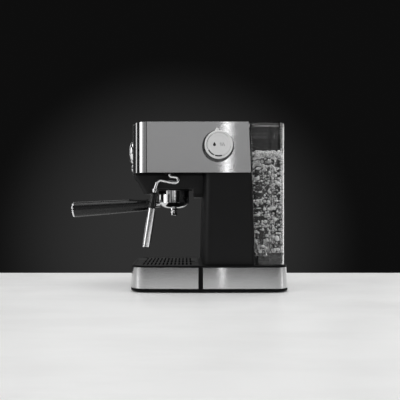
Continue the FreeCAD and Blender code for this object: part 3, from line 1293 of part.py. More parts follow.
def tank_valve_plunger():
    """The poppet that shuts the tank's outlet, with the collar that its spring presses on."""
    low = TANK_BOTTOM + PLUNGER_CLEAR
    stem = rod(PLUNGER_RADIUS, V(0, VALVE_Y, low), V(0, VALVE_Y, TANK_FLOOR_TOP + 1))
    collar = rod(SPRING_RADIUS + SPRING_WIRE, V(0, VALVE_Y, low + 0.6), V(0, VALVE_Y, low + 1.6))
    head = rod(PLUNGER_HEAD, V(0, VALVE_Y, TANK_FLOOR_TOP + 0.3), V(0, VALVE_Y, TANK_FLOOR_TOP + 2.3))
    fin = box(-0.6, 0.6, VALVE_Y - PLUNGER_HEAD + 2, VALVE_Y + PLUNGER_HEAD - 2, TANK_FLOOR_TOP + 2.0, TANK_FLOOR_TOP + 7)
    return fused([stem, collar, head, fin])


def tank_valve_spring():
    """The light spring that pulls the poppet shut: it stands between its collar and the tank's floor."""
    low = TANK_BOTTOM + PLUNGER_CLEAR + 1.6 + SPRING_WIRE + 0.05
    high = TANK_FLOOR_TOP - TANK_WALL - SPRING_WIRE - 0.05
    helix = Part.makeHelix((high - low) / SPRING_TURNS, high - low, SPRING_RADIUS)
    wire = Part.Wire(helix.Edges)
    start = V(SPRING_RADIUS, 0, 0)
    disc = Part.Wire(Part.makeCircle(SPRING_WIRE, start, Y_AXIS))
    coil = wire.makePipeShell([disc], True, True)
    coil.translate(V(0, VALVE_Y, low))
    return coil


def tank_seat():
    """The socket in the base that the tank's outlet drops into, with the pin that opens the valve."""
    low = DECK_TOP + TOUCH_GAP
    body = pipe(SEAT_RADIUS, VALVE_RADIUS + MOVE_GAP, V(0, VALVE_Y, low), V(0, VALVE_Y, DECK_TOP + 10.0))
    floor = rod(SEAT_RADIUS - 2.2, V(0, VALVE_Y, DECK_TOP - 3.5), V(0, VALVE_Y, DECK_TOP + 2.5))
    stub = rod(4.0, V(0, VALVE_Y, DECK_TOP - 14), V(0, VALVE_Y, DECK_TOP - 3))
    pin = rod(1.2, V(0, VALVE_Y, DECK_TOP + 2), V(0, VALVE_Y, TANK_BOTTOM + PLUNGER_CLEAR - MOVE_GAP))
    way = rod(1.0, V(0, VALVE_Y - 2.4, 0), V(0, VALVE_Y - 2.4, DECK_TOP + 5))
    return fused([body, floor, stub, pin]).cut(way)


# ---- pump, hoses and electrics -------------------------------------------------------------------
PUMP_Y = 100.0
BOARD_X = -72.0
BOARD_THICK = 1.6
PUMP_BOTTOM = 92.0
PUMP_TOP = 168.0


def pump_body():
    """The vibration pump's barrel with its inlet below and outlet above."""
    barrel = rod(11.0, V(0, PUMP_Y, PUMP_BOTTOM), V(0, PUMP_Y, PUMP_TOP))
    inlet = rod(4.0, V(0, PUMP_Y, PUMP_BOTTOM - 9), V(0, PUMP_Y, PUMP_BOTTOM + 1))
    outlet = rod(4.0, V(0, PUMP_Y, PUMP_TOP - 1), V(0, PUMP_Y, PUMP_TOP + 9))
    collars = [rod(15.0, V(0, PUMP_Y, z), V(0, PUMP_Y, z + 4)) for z in (PUMP_BOTTOM + 4, PUMP_TOP - 8)]
    return fused([barrel, inlet, outlet] + collars)


def pump_coil():
    """The square coil and its iron frame round the pump's barrel."""
    low, high = PUMP_BOTTOM + 16, PUMP_TOP - 18
    coil = rod(20.0, V(0, PUMP_Y, low), V(0, PUMP_Y, high))
    frame = box(-22, 22, PUMP_Y - 16, PUMP_Y + 16, low - 2, high + 2)
    frame = frame.cut(box(-19.5, 19.5, PUMP_Y - 30, PUMP_Y + 30, low + 0.5, high - 0.5))
    terminals = [box(-4 + s, -1 + s, PUMP_Y - 26, PUMP_Y - 19, high - 8, high - 7) for s in (-3, 6)]
    bore = rod(11.1, V(0, PUMP_Y, low - 5), V(0, PUMP_Y, high + 5))
    return fused([coil, frame] + terminals).cut(bore)


def pump_mounts():
    """Two rubber cradles that hang the pump between the column's side walls."""
    pieces = []
    half = COLUMN_HALF - SHELL - TOUCH_GAP - 0.4
    for z in (PUMP_BOTTOM + 8.1, PUMP_TOP - 13.1):
        arm = box(-half, half, PUMP_Y - 8, PUMP_Y + 8, z, z + 5.0)
        pieces.append(arm.cut(rod(11.1, V(0, PUMP_Y, 0), V(0, PUMP_Y, 300))))
    return group_of(pieces)


def suction_hose():
    """Silicone hose from the tank's seat, under the deck, up to the pump."""
    points = [
        V(0, VALVE_Y, DECK_TOP - 6.0), V(0, VALVE_Y, 22), V(0, PUMP_Y, 22), V(0, PUMP_Y, PUMP_BOTTOM - 2.0),
    ]
    return hose(points, [11.0, 14.0], 5.6, 4.05)


def pressure_hose():
    points = [V(0, PUMP_Y, PUMP_TOP + 2.0), V(0, PUMP_Y, WATER_Z), V(0, THERMO_REAR + 0.5, WATER_Z)]
    return hose(points, [22.0], 5.6, 4.05)


def steam_hoses():
    """The hose from the heater to the steam valve, and the one from the valve to the wand."""
    side = VALVE_INLET_X
    turn_y = KNOB_Y - 26.0
    outer, inner = STUB_RADIUS + 1.2, STUB_RADIUS + 0.05
    feed = hose(
        [
            V(30, THERMO_REAR + 0.5, STEAM_Z),
            V(30, turn_y + 6, STEAM_Z),
            V(side - 10, turn_y + 6, KNOB_Z + 14),
            V(side, turn_y, KNOB_Z),
            V(side, KNOB_Y - 10.5, KNOB_Z),
        ],
        [5.0, 6.0, 6.0], outer, inner,
    )
    out = hose(
        [V(WAND_X, KNOB_Y - 10.5, KNOB_Z), V(WAND_X, WAND_Y, KNOB_Z), V(WAND_X, WAND_Y, SOCKET_TOP + 0.2)],
        [16.0], outer, inner
    )
    return group_of([feed, out])


def control_board():
    """The electronics behind the left panel: a board with a relay, a transformer and capacitors."""
    face = BOARD_X + BOARD_THICK + TOUCH_GAP
    low = HEAD_BOTTOM + 13.0
    board = box(BOARD_X, BOARD_X + BOARD_THICK, 58, 126, low, low + 60)
    parts = [
        box(face, face + 16.3, 66, 84, low + 6, low + 28),
        box(face, face + 12.3, 92, 110, low + 6, low + 20),
        rod(5.0, V(face, 96, low + 40), V(face + 14.3, 96, low + 40)),
        rod(4.0, V(face, 112, low + 40), V(face + 11.3, 112, low + 40)),
        box(face, face + 8.3, 64, 84, low + 42, low + 54),
    ]
    return group_of([board] + parts)


def capillary_tube():
    """The fine copper tube that brings the pressure to the gauge."""
    back = FASCIA_MIDDLE - GAUGE_PROUD + GAUGE_PROUD + GAUGE_CASE_DEPTH + 8.1
    points = [
        V(0, back, GAUGE_HEIGHT), V(0, back + 8, GAUGE_HEIGHT), V(0, back + 8, THERMO_TOP + 12), V(0, 20, THERMO_TOP + 12),
        V(0, 20, THERMO_TOP - 7.9),
    ]
    tube = swept(bent_path(points, [3.5, 3.5, 6.0]), 1.2)
    return tube


# ---- export --------------------------------------------------------------------------------------
def pieces():
    """Every node's name with the shape that it holds."""
    made = {
        "base_pan": base_pan(),
        "bottom_plate": bottom_plate(),
        "bottom_screws": bottom_screws(),
        "rubber_feet": rubber_feet(),
        "base_band": base_band(),
        "cord_grommet": cord_grommet(),
        "tank_seat": tank_seat(),
        "column_housing": column_housing(),
        "rear_panel": rear_panel(),
        "head_band": head_band(),
        "lower_cover": lower_cover(),
        "top_frame": top_frame(),
        "cup_warmer_plate": cup_warmer_plate(),
        "fascia_frame": fascia_frame(),
        "fascia_panel": fascia_panel(),
        "gauge_case": gauge_case(),
        "gauge_bezel": gauge_bezel(),
        "gauge_dial": gauge_dial(),
        "gauge_lens": gauge_lens(),
        "gauge_needle": gauge_needle(),
        "button_rings": button_rings(),
        "power_button": button(BUTTON_PLACES[0]),
        "coffee_button": button(BUTTON_PLACES[1]),
        "steam_button": button(BUTTON_PLACES[2]),
        "group_collar": group_collar(),
        "group_gasket": group_gasket(),
        "group_head": group_head(),
        "shower_screen": shower_screen(),
        "screen_screw": screen_screw(),
        "thermoblock": thermoblock(),
        "thermostats": thermostats(),
        "pump_body": pump_body(),
        "pump_coil": pump_coil(),
        "pump_mounts": pump_mounts(),
        "water_hoses": group_of([suction_hose(), pressure_hose()]),
        "steam_hoses": steam_hoses(),
        "capillary_tube": capillary_tube(),
        "circuit_boards": group_of([control_board(), button_switches()]),
        "steam_valve_body": steam_valve_body(),
        "steam_valve_spindle": steam_valve_spindle(),
        "steam_knob_body": steam_knob_body(),
        "steam_knob_cap": steam_knob_cap(),
        "wand_socket": wand_socket(),
        "wand_pipe": wand_pipe(),
        "wand_grip": wand_grip(),
        "frother_nozzle": frother_nozzle(),
        "frother_sleeve": frother_sleeve(),
        "portafilter_bowl": portafilter_bowl(),
        "filter_basket": filter_basket(),
        "portafilter_spout": portafilter_spout(),
        "portafilter_handle": portafilter_handle(),
        "handle_end_cap": handle_end_cap(),
        "basket_retainer": basket_retainer(),
        "drip_tray": drip_tray(),
        "tray_band": tray_band(),
        "drip_grid": drip_grid(),
        "water_tank": water_tank(),
        "tank_lid": tank_lid(),
        "tank_valve_plunger": tank_valve_plunger(),
        "tank_valve_spring": tank_valve_spring(),
    }
    return made


def main():
    os.makedirs("parts", exist_ok=True)
    for name, shape in pieces().items():
        shape = shape.copy()
        shape.translate(SHIFT)
        solids = shape.Solids
        valid = all(s.isValid() and s.Volume > 0 for s in solids)
        out = solids[0] if len(solids) == 1 else Part.makeCompound(solids)
        out.exportStep(os.path.join("parts", name + ".step"))
        print(f"{name}: {len(solids)} solid(s), {sum(s.Volume for s in solids) / 1000:.2f} cm3, valid {valid}")


main()
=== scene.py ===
import math
import random

import bmesh
import bpy
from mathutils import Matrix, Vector


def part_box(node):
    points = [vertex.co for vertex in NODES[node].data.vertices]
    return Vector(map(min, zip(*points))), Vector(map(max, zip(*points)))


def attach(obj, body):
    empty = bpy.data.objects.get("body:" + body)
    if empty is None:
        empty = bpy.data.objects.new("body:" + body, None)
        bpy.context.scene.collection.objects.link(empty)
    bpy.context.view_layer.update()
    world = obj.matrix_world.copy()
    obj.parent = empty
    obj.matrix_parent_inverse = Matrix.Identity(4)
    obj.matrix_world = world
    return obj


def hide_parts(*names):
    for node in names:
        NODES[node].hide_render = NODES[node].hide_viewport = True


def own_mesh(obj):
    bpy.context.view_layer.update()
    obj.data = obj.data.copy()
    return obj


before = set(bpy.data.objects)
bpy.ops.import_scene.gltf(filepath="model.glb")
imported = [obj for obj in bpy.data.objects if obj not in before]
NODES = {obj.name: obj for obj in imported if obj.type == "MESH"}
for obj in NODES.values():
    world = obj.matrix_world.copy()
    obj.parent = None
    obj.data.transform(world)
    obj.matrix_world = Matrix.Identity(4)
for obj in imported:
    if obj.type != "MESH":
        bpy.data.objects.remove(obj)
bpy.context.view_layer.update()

MM = 0.001
SMOOTHEST = 0.01              # the least roughness that a surface's patches reach
PLACE = {name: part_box(name) for name in NODES}


# ---- node materials ------------------------------------------------------------------------------
def shade(colour, times, plus=0.0):
    """A colour made darker or lighter."""
    return [min(1.0, part * times + plus) for part in colour]


class Look:
    """One node material: a Principled shader and short ways to feed it."""

    def __init__(self, name, base, rough, metal=0.0, **sockets):
        self.mat = bpy.data.materials.new(name)
        self.mat.use_nodes = True
        self.nodes = self.mat.node_tree.nodes
        self.links = self.mat.node_tree.links
        self.bsdf = self.nodes["Principled BSDF"]
        self.base, self.rough = base, rough
        self.bsdf.inputs["Base Color"].default_value = (*base, 1.0)
        self.bsdf.inputs["Roughness"].default_value = rough
        self.bsdf.inputs["Metallic"].default_value = metal
        for key, value in sockets.items():
            self.bsdf.inputs[key.replace("_", " ")].default_value = value
        self.normal = None
        self.edge = None

    def node(self, kind, **values):
        """A new node with the settings given."""
        made = self.nodes.new(kind)
        for key, value in values.items():
            setattr(made, key, value)
        return made

    def link(self, output, socket):
        self.links.new(output, socket)

    def coords(self, stretch=(1, 1, 1)):
        """Object coordinates in millimetres, stretched: they stay with the piece as it moves."""
        where = self.node("ShaderNodeTexCoord")
        mapping = self.node("ShaderNodeMapping")
        mapping.inputs["Scale"].default_value = [part / MM for part in stretch]
        self.link(where.outputs["Object"], mapping.inputs["Vector"])
        return mapping.outputs["Vector"]

    def noise(self, size, stretch=(1, 1, 1), detail=3.0, rough=0.55):
        """Noise whose features are about size millimetres across."""
        tex = self.node("ShaderNodeTexNoise")
        tex.inputs["Scale"].default_value = 1.0 / size
        tex.inputs["Detail"].default_value = detail
        tex.inputs["Roughness"].default_value = rough
        self.link(self.coords(stretch), tex.inputs["Vector"])
        return tex.outputs["Fac"]

    def ramp(self, fac, low, high, start=0.3, end=0.7):
        """Turns start to end of a value into low to high."""
        ramp = self.node("ShaderNodeMapRange")
        ramp.inputs["From Min"].default_value = start
        ramp.inputs["From Max"].default_value = end
        ramp.inputs["To Min"].default_value = low
        ramp.inputs["To Max"].default_value = high
        self.link(fac, ramp.inputs["Value"])
        return ramp.outputs["Result"]

    def tint(self, fac, spread):
        """The base colour goes darker and lighter by spread."""
        mix = self.node("ShaderNodeMix", data_type="RGBA")
        mix.inputs["A"].default_value = (*shade(self.base, 1 - spread), 1.0)
        mix.inputs["B"].default_value = (*shade(self.base, 1 + spread), 1.0)
        self.link(fac, mix.inputs["Factor"])
        self.link(mix.outputs["Result"], self.bsdf.inputs["Base Color"])
        return self

    def vary_rough(self, fac, spread):
        """The roughness goes down and up by spread."""
        low, high = max(SMOOTHEST, self.rough - spread), self.rough + spread
        self.link(self.ramp(fac, low, high), self.bsdf.inputs["Roughness"])
        return self

    def bump(self, fac, height):
        """Relief of height millimetres, added to any relief already there."""
        bump = self.node("ShaderNodeBump")
        bump.inputs["Distance"].default_value = height * MM
        bump.inputs["Strength"].default_value = 1.0
        self.link(fac, bump.inputs["Height"])
        if self.normal is not None:
            self.link(self.normal, bump.inputs["Normal"])
        self.normal = bump.outputs["Normal"]
        self.link(self.normal, self.bsdf.inputs["Normal"])
        return self

    def soft_edges(self, radius):
        """Rounds the look of sharp edges, and keeps where they are for edge wear."""
        bevel = self.node("ShaderNodeBevel", samples=4)
        bevel.inputs["Radius"].default_value = radius * MM
        plain = self.node("ShaderNodeNewGeometry")
        facing = self.node("ShaderNodeVectorMath", operation="DOT_PRODUCT")
        self.link(bevel.outputs["Normal"], facing.inputs[0])
        self.link(plain.outputs["Normal"], facing.inputs[1])
        self.edge = self.ramp(facing.outputs["Value"], 1.0, 0.0, start=0.80, end=0.995)
        self.normal = bevel.outputs["Normal"]
        self.link(self.normal, self.bsdf.inputs["Normal"])
        return self

    def lit_through(self):
        """Lamps reach what is behind the surface."""
        path = self.node("ShaderNodeLightPath")
        open_air = self.node("ShaderNodeBsdfTransparent")
        mix = self.node("ShaderNodeMixShader")
        self.link(path.outputs["Is Shadow Ray"], mix.inputs["Fac"])
        self.link(self.bsdf.outputs["BSDF"], mix.inputs[1])
        self.link(open_air.outputs["BSDF"], mix.inputs[2])
        self.link(mix.outputs["Shader"], self.nodes["Material Output"].inputs["Surface"])
        return self

    def worn_edges(self, colour, amount):
        """The colour changes where hands and cloths have rubbed the edges, unevenly."""
        patches = self.ramp(self.noise(6.0, detail=5.0), 0.0, amount, start=0.35, end=0.65)
        wear = self.node("ShaderNodeMath", operation="MULTIPLY")
        self.link(self.edge, wear.inputs[0])
        self.link(patches, wear.inputs[1])
        mix = self.node("ShaderNodeMix", data_type="RGBA")
        source = self.bsdf.inputs["Base Color"]
        self.link(source.links[0].from_socket, mix.inputs["A"])
        mix.inputs["B"].default_value = (*colour, 1.0)
        self.link(wear.outputs["Value"], mix.inputs["Factor"])
        self.link(mix.outputs["Result"], source)
        return self


LOOKS = {}                    # the finished materials by name, which the makers below fill


def brushed(name, base, rough, stretch, axis="Z"):
    """Brushed steel: long fine scratches and slow stains, with highlights drawn out across them."""
    look = Look(name, base, rough, 1.0, Anisotropic=1.0, Anisotropic_Rotation=0.25)
    look.soft_edges(radius=0.35)
    tangent = look.node("ShaderNodeTangent", direction_type="RADIAL", axis=axis)
    look.link(tangent.outputs["Tangent"], look.bsdf.inputs["Tangent"])
    scratches = look.noise(0.45, stretch, detail=4.0, rough=0.7)
    look.tint(look.ramp(scratches, 0.0, 1.0, start=0.25, end=0.75), spread=0.12)
    look.vary_rough(look.noise(0.8, stretch), spread=0.02)
    look.bump(scratches, height=0.008)
    look.worn_edges(shade(base, 1.35), amount=0.6)
    LOOKS[name] = look.mat


def plastic(name, base, rough, grain, depth, edge=0.4, coat=0.0, shine=0.35):
    """Moulded plastic: spark-eroded grain, faint flow marks, handled patches and rubbed edges."""
    look = Look(name, base, rough, Coat_Weight=coat, Coat_Roughness=0.04, Specular_IOR_Level=shine)
    look.soft_edges(edge)
    look.tint(look.noise(22.0, detail=4.0), spread=0.22)
    look.vary_rough(look.noise(14.0, detail=5.0), spread=0.07)
    look.bump(look.noise(grain, detail=2.0), depth)
    look.worn_edges(shade(base, 2.2, 0.01), amount=0.5)
    LOOKS[name] = look.mat


def metal(name, base, rough, grain=0.4, depth=0.002, spread=0.03, edge=0.3, metalness=1.0):
    """Plated, painted or machined metal with faint waviness and wiped patches."""
    look = Look(name, base, rough, metalness).soft_edges(edge)
    look.tint(look.noise(9.0, detail=4.0), spread=0.05)
    look.vary_rough(look.noise(12.0, detail=5.0), spread)
    look.bump(look.noise(grain), depth)
    look.worn_edges(shade(base, 1.2), amount=0.4)
    LOOKS[name] = look.mat


def clear(name, base, rough, ior, edge=0.5, spread=0.02):
    """Clear moulded plastic, glass or water, with faint flow waves."""
    look = Look(name, base, rough, Transmission_Weight=1.0, IOR=ior).soft_edges(edge)
    look.vary_rough(look.noise(10.0, detail=4.0), spread)
    look.bump(look.noise(16.0, detail=2.0), height=0.03)
    look.tint(look.noise(40.0), spread=0.012)
    LOOKS[name] = look.lit_through().mat


def bubble_skin(name, base, rough):
    """Milky skin of a bubble."""
    look = Look(name, base, rough, Transmission_Weight=0.25, IOR=1.3).soft_edges(radius=0.1)
    look.vary_rough(look.noise(4.0), spread=0.06)
    look.tint(look.noise(7.0), spread=0.12)
    look.bump(look.noise(1.2, detail=2.0), height=0.05)
    LOOKS[name] = look.mat


STEEL = (0.60, 0.60, 0.605)
CLEAR = (0.985, 0.985, 0.985)
brushed("steel_side", STEEL, 0.09, stretch=(0.012, 0.012, 2.2))
brushed("steel_top", STEEL, 0.22, stretch=(0.012, 2.2, 0.012), axis="Y")
metal("chrome", (0.80, 0.80, 0.81), 0.07)
metal("sleeve", (0.76, 0.76, 0.77), 0.19, grain=0.3, depth=0.003, spread=0.04)
metal("silver", (0.78, 0.78, 0.78), 0.36, grain=0.25, depth=0.006, spread=0.05, edge=0.4,
      metalness=0.35)
metal("plain_steel", (0.60, 0.60, 0.61), 0.26, grain=0.5, depth=0.006, spread=0.06)
metal("aluminium", (0.62, 0.62, 0.63), 0.42, grain=0.8, depth=0.03, spread=0.08)
metal("brass", (0.66, 0.46, 0.18), 0.28, grain=0.5, depth=0.006, spread=0.06)
metal("copper", (0.70, 0.34, 0.20), 0.26, grain=0.5, depth=0.004, spread=0.06)
plastic("black", (0.006, 0.006, 0.0063), 0.42, grain=0.35, depth=0.010, shine=0.2)
plastic("matt_black", (0.005, 0.005, 0.0053), 0.55, grain=0.4, depth=0.012, shine=0.08)
plastic("black_fine", (0.006, 0.006, 0.0063), 0.28, grain=0.25, depth=0.004, shine=0.4)
plastic("piano", (0.004, 0.004, 0.0045), 0.09, grain=3.0, depth=0.001, edge=0.5, coat=0.6,
        shine=0.5)
plastic("rubber", (0.014, 0.014, 0.014), 0.78, grain=0.3, depth=0.02)
plastic("silicone", (0.62, 0.62, 0.58), 0.45, grain=0.6, depth=0.006)
plastic("board", (0.02, 0.12, 0.05), 0.42, grain=0.8, depth=0.01)
plastic("dial", (0.80, 0.80, 0.78), 0.55, grain=0.3, depth=0.003, edge=0.1)
plastic("ink", (0.010, 0.010, 0.010), 0.5, grain=0.3, depth=0.002, edge=0.05)
plastic("grey_ink_and_painted_shade", (0.20, 0.20, 0.20), 0.5, grain=0.3, depth=0.002, edge=0.05)
clear("clear", CLEAR, 0.03, ior=1.42)
clear("lens", (0.98, 0.98, 0.98), 0.01, ior=1.45, edge=0.3, spread=0.005)
clear("water", CLEAR, 0.01, ior=1.20, edge=0.3, spread=0.005)
bubble_skin("bubble", (0.86, 0.86, 0.86), 0.12)
plastic("gloss_black", (0.005, 0.005, 0.0055), 0.14, grain=0.6, depth=0.002, shine=0.5)

PAINT = {
    "steel_side": ["base_band", "tray_band", "head_band"],
    "steel_top": ["cup_warmer_plate"],
    "chrome": ["gauge_bezel", "button_rings", "power_button", "coffee_button", "steam_button",
               "wand_pipe", "portafilter_bowl", "portafilter_spout", "handle_end_cap"],
    "sleeve": ["frother_sleeve"],
    "silver": ["steam_knob_cap"],
    "plain_steel": ["bottom_screws", "shower_screen", "screen_screw", "thermostats",
                    "filter_basket", "tank_valve_spring"],
    "aluminium": ["group_head", "thermoblock"],
    "brass": ["steam_valve_body", "steam_valve_spindle"],
    "copper": ["capillary_tube"],
    "matt_black": ["base_pan", "drip_tray", "drip_grid"],
    "black": ["bottom_plate", "column_housing", "rear_panel", "lower_cover", "top_frame",
              "group_collar", "tank_seat", "wand_socket", "gauge_case", "pump_body", "pump_coil"],
    "black_fine": ["fascia_frame", "steam_knob_body", "frother_nozzle", "portafilter_handle",
                   "basket_retainer", "tank_valve_plunger"],
    "gloss_black": ["wand_grip"],
    "piano": ["fascia_panel"],
    "rubber": ["rubber_feet", "cord_grommet", "group_gasket", "pump_mounts"],
    "silicone": ["water_hoses", "steam_hoses"],
    "board": ["circuit_boards"],
    "dial": ["gauge_dial"],
    "ink": ["gauge_needle"],
    "clear": ["water_tank", "tank_lid"],
    "lens": ["gauge_lens"],
}
for look, names in PAINT.items():
    for name in names:
        materials = NODES[name].data.materials
        materials.clear()
        materials.append(LOOKS[look])


# ---- where things are ----------------------------------------------------------------------------
# In millimetres from the brew group's axis and the table: x to the side that the knob is on, y to
# the back and z up. OFFSET takes them into the frame.
OFFSET = Vector((-8.5, -3.95, 0.0))
DIAL_HEIGHT = 257.0
DIAL_FACE = -76.1
KNOB_CENTRE = Vector((112.5, 80.0, 259.7))
TANK_LEVELS = (48.5, 296.6)   # the tank's lower edge and its top
TANK_FRONT = (146.0, 138.0)   # how far back its sloping front is at each
TANK_WALL = 2.6
TANK_INNER_HALF = 77.4
TANK_INNER_REAR = 198.8
TANK_INNER_RADIUS = 11.4
TANK_INNER_FLOOR = 69.2
WATER_TOP = 247.0
VALVE_AXIS = 172.0
DECAL = 0.10                  # thickness of printed marks
ARC_STEP = 5.0                # degrees between the points of a printed arc


class Plane:
    """A flat face seen from its front: right and up across it, and the way out of it."""

    def __init__(self, origin, right, up):
        self.origin, self.right, self.up = Vector(origin), Vector(right), Vector(up)
        self.out = self.right.cross(self.up)

    def at(self, u, v, lift=0.0):
        """A point in the frame's metres, for millimetres across, up and out."""
        point = self.origin + self.right * u + self.up * v + self.out * lift + OFFSET
        return point * MM


def add(name, shape, look, body, smooth=False):
    """Makes an object from a bmesh, gives it a material and lets it ride on a body."""
    mesh = bpy.data.meshes.new(name)
    bmesh.ops.recalc_face_normals(shape, faces=shape.faces[:])
    shape.to_mesh(mesh)
    shape.free()
    obj = bpy.data.objects.new(name, mesh)
    bpy.context.scene.collection.objects.link(obj)
    mesh.materials.append(LOOKS[look])
    for face in mesh.polygons:
        face.use_smooth = smooth
    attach(obj, body)
    return obj


def polar(radius, degrees, centre=(0.0, 0.0)):
    """A point at an angle, counter-clockwise from the right."""
    turn = math.radians(degrees)
    return centre[0] + radius * math.cos(turn), centre[1] + radius * math.sin(turn)


def raised(shape, plane, rows):
    """A strip of quads between two rows of points across a plane, with sides, ends and a back."""
    first, second = rows
    grid = [[shape.verts.new(plane.at(*point, lift)) for point in row]
            for row, lift in ((first, DECAL), (second, DECAL), (second, 0.0), (first, 0.0))]
    for i in range(len(first) - 1):
        for j in range(4):
            beside = (j + 1) % 4
            shape.faces.new((grid[j][i], grid[beside][i], grid[beside][i + 1], grid[j][i + 1]))
    shape.faces.new([column[0] for column in grid])
    shape.faces.new([column[-1] for column in grid])


def arc_band(shape, plane, inner, outer, start, end, centre=(0.0, 0.0)):
    """Part of a flat ring."""
    steps = max(4, int(abs(end - start) / ARC_STEP))
    turns = [start + (end - start) * i / steps for i in range(steps + 1)]
    rows = [[polar(radius, turn, centre) for turn in turns] for radius in (inner, outer)]
    raised(shape, plane, rows)


def stroke(shape, plane, points, width):
    """A line of the given width through points."""
    left, right = [], []
    for i, point in enumerate(points):
        before, after = points[max(0, i - 1)], points[min(len(points) - 1, i + 1)]
        run = Vector((after[0] - before[0], after[1] - before[1])).normalized()
        side = Vector((-run.y, run.x)) * width / 2
        left.append((point[0] + side.x, point[1] + side.y))
        right.append((point[0] - side.x, point[1] - side.y))
    raised(shape, plane, (left, right))


def blob(shape, plane, outline):
    """A filled outline, raised from the plane."""
    top = [shape.verts.new(plane.at(*point, DECAL)) for point in outline]
    base = [shape.verts.new(plane.at(*point)) for point in outline]
    shape.faces.new(top)
    shape.faces.new(base)
    for i in range(len(outline)):
        after = (i + 1) % len(outline)
        shape.faces.new((top[i], top[after], base[after], base[i]))


def wave(side, foot, height, sway, steps):
    """The points of one upright turn of a sine."""
    return [(side + sway * math.sin(math.tau * i / steps), foot + height * i / steps)
            for i in range(steps + 1)]


def numeral(text, plane, centre, size):
    """The triangles of a printed number, standing on the plane."""
    curve = bpy.data.curves.new("numeral", "FONT")
    curve.body = text
    curve.size = size
    curve.align_x, curve.align_y = "CENTER", "CENTER"
    curve.extrude = DECAL / 2
    curve.resolution_u = 3
    holder = bpy.data.objects.new("numeral", curve)
    mesh = bpy.data.meshes.new_from_object(holder)
    shape = bmesh.new()
    shape.from_mesh(mesh)
    for vert in shape.verts:
        u, v, lift = vert.co
        vert.co = plane.at(centre[0] + u, centre[1] + v, lift + DECAL / 2)
    bpy.data.objects.remove(holder)
    bpy.data.curves.remove(curve)
    bpy.data.meshes.remove(mesh)
    return shape


def merge(shape, other):
    """Puts another bmesh into the shape."""
    mesh = bpy.data.meshes.new("part")
    other.to_mesh(mesh)
    other.free()
    shape.from_mesh(mesh)
    bpy.data.meshes.remove(mesh)


# ---- gauge ---------------------------------------------------------------------------------------
GAUGE_SWEEP = (225.0, -45.0)  # needle's angles at nothing and at full scale
GAUGE_FULL = 16               # bar
GAUGE_NUMBERED = 4            # bar from one number to the next
GAUGE_LINE = (13.7, 13.95)    # radii of the line that the ticks reach out to
MAIN_TICK = (11.0, 0.9)       # a tick's inner radius, and half its width in degrees
BAR_TICK = (12.2, 0.45)
HALF_TICK = (12.8, 0.45)
NUMBER_RING, NUMBER_SIZE = 8.9, 3.3
NOUGHT_SHIFT = 17.0           # degrees that the nought stands further along the scale
UNIT_DROP, UNIT_SIZE = 8.6, 2.6
BREWING = (8, 12)             # bar
BREWING_RING = (14.0, 14.9)


def gauge_turn(bar):
    """The needle's angle at a pressure."""
    start, end = GAUGE_SWEEP
    return start + (end - start) * bar / GAUGE_FULL


def gauge_marks():
    """The dial's scale: ticks, numbers and unit, and a grey band for the brewing range."""
    plane = Plane((0, DIAL_FACE, DIAL_HEIGHT), (1, 0, 0), (0, 0, 1))
    ink = bmesh.new()
    for halves in range(GAUGE_FULL * 2 + 1):
        if halves % (GAUGE_NUMBERED * 2) == 0:
            inner, half = MAIN_TICK
        else:
            inner, half = BAR_TICK if halves % 2 == 0 else HALF_TICK
        turn = gauge_turn(halves / 2)
        arc_band(ink, plane, inner, GAUGE_LINE[0], turn - half, turn + half)
    arc_band(ink, plane, *GAUGE_LINE, *GAUGE_SWEEP[::-1])
    for bar in range(0, GAUGE_FULL + 1, GAUGE_NUMBERED):
        turn = gauge_turn(bar) - (NOUGHT_SHIFT if bar == 0 else 0.0)
        merge(ink, numeral(str(bar), plane, polar(NUMBER_RING, turn), NUMBER_SIZE))
    merge(ink, numeral("bar", plane, (0, -UNIT_DROP), UNIT_SIZE))
    add("gauge_scale", ink, "ink", "housing")
    band = bmesh.new()
    low, high = (gauge_turn(bar) for bar in BREWING)
    arc_band(band, plane, *BREWING_RING, high, low)
    add("gauge_range", band, "grey_ink_and_painted_shade", "housing")


# ---- buttons -------------------------------------------------------------------------------------
BUTTON_DISH = 0.7             # how far the middle of a button lies behind its rim
BUTTON_SLOPE = 0.1            # and how fast its face rises from there
BUTTON_LINE = 0.5             # widths of the printed lines
BUTTON_FINE_LINE = 0.45


class Dish(Plane):
    """A shallow cone, deepest in the middle."""

    def at(self, u, v, lift=0.0):
        return super().at(u, v, lift + BUTTON_SLOPE * math.hypot(u, v))


def button_face(name):
    """The face of a button, measured from its middle."""
    low, high = PLACE[name]
    middle = (Vector(low) + Vector(high)) / 2 / MM - OFFSET
    return Dish((middle.x, low[1] / MM - OFFSET.y + BUTTON_DISH, middle.z), (1, 0, 0), (0, 0, 1))


def power_mark(shape, plane):
    """A ring that is open at the top, and a stroke in the gap."""
    arc_band(shape, plane, inner=1.9, outer=2.4, start=125, end=415)
    stroke(shape, plane, [(0, 0.6), (0, 3.0)], BUTTON_LINE)


def cup_mark(shape, plane):
    """A cup with a handle, a saucer and two wisps of steam."""
    blob(shape, plane, [(1.6, 0.9), (1.1, -1.6), (-1.7, -1.6), (-2.2, 0.9)])
    arc_band(shape, plane, inner=0.65, outer=1.1, start=-80, end=80, centre=(1.5, -0.2))
    stroke(shape, plane, [(-2.6, -2.4), (2.2, -2.4)], BUTTON_LINE)
    for side in (-1.0, 0.4):
        stroke(shape, plane, [(side, 1.6), (side, 2.9)], BUTTON_FINE_LINE)


def steam_mark(shape, plane):
    """Three curls of steam."""
    for side in (-1.5, 0.0, 1.5):
        curl = wave(side, foot=-2.4, height=4.8, sway=0.42, steps=8)
        stroke(shape, plane, curl, BUTTON_FINE_LINE)


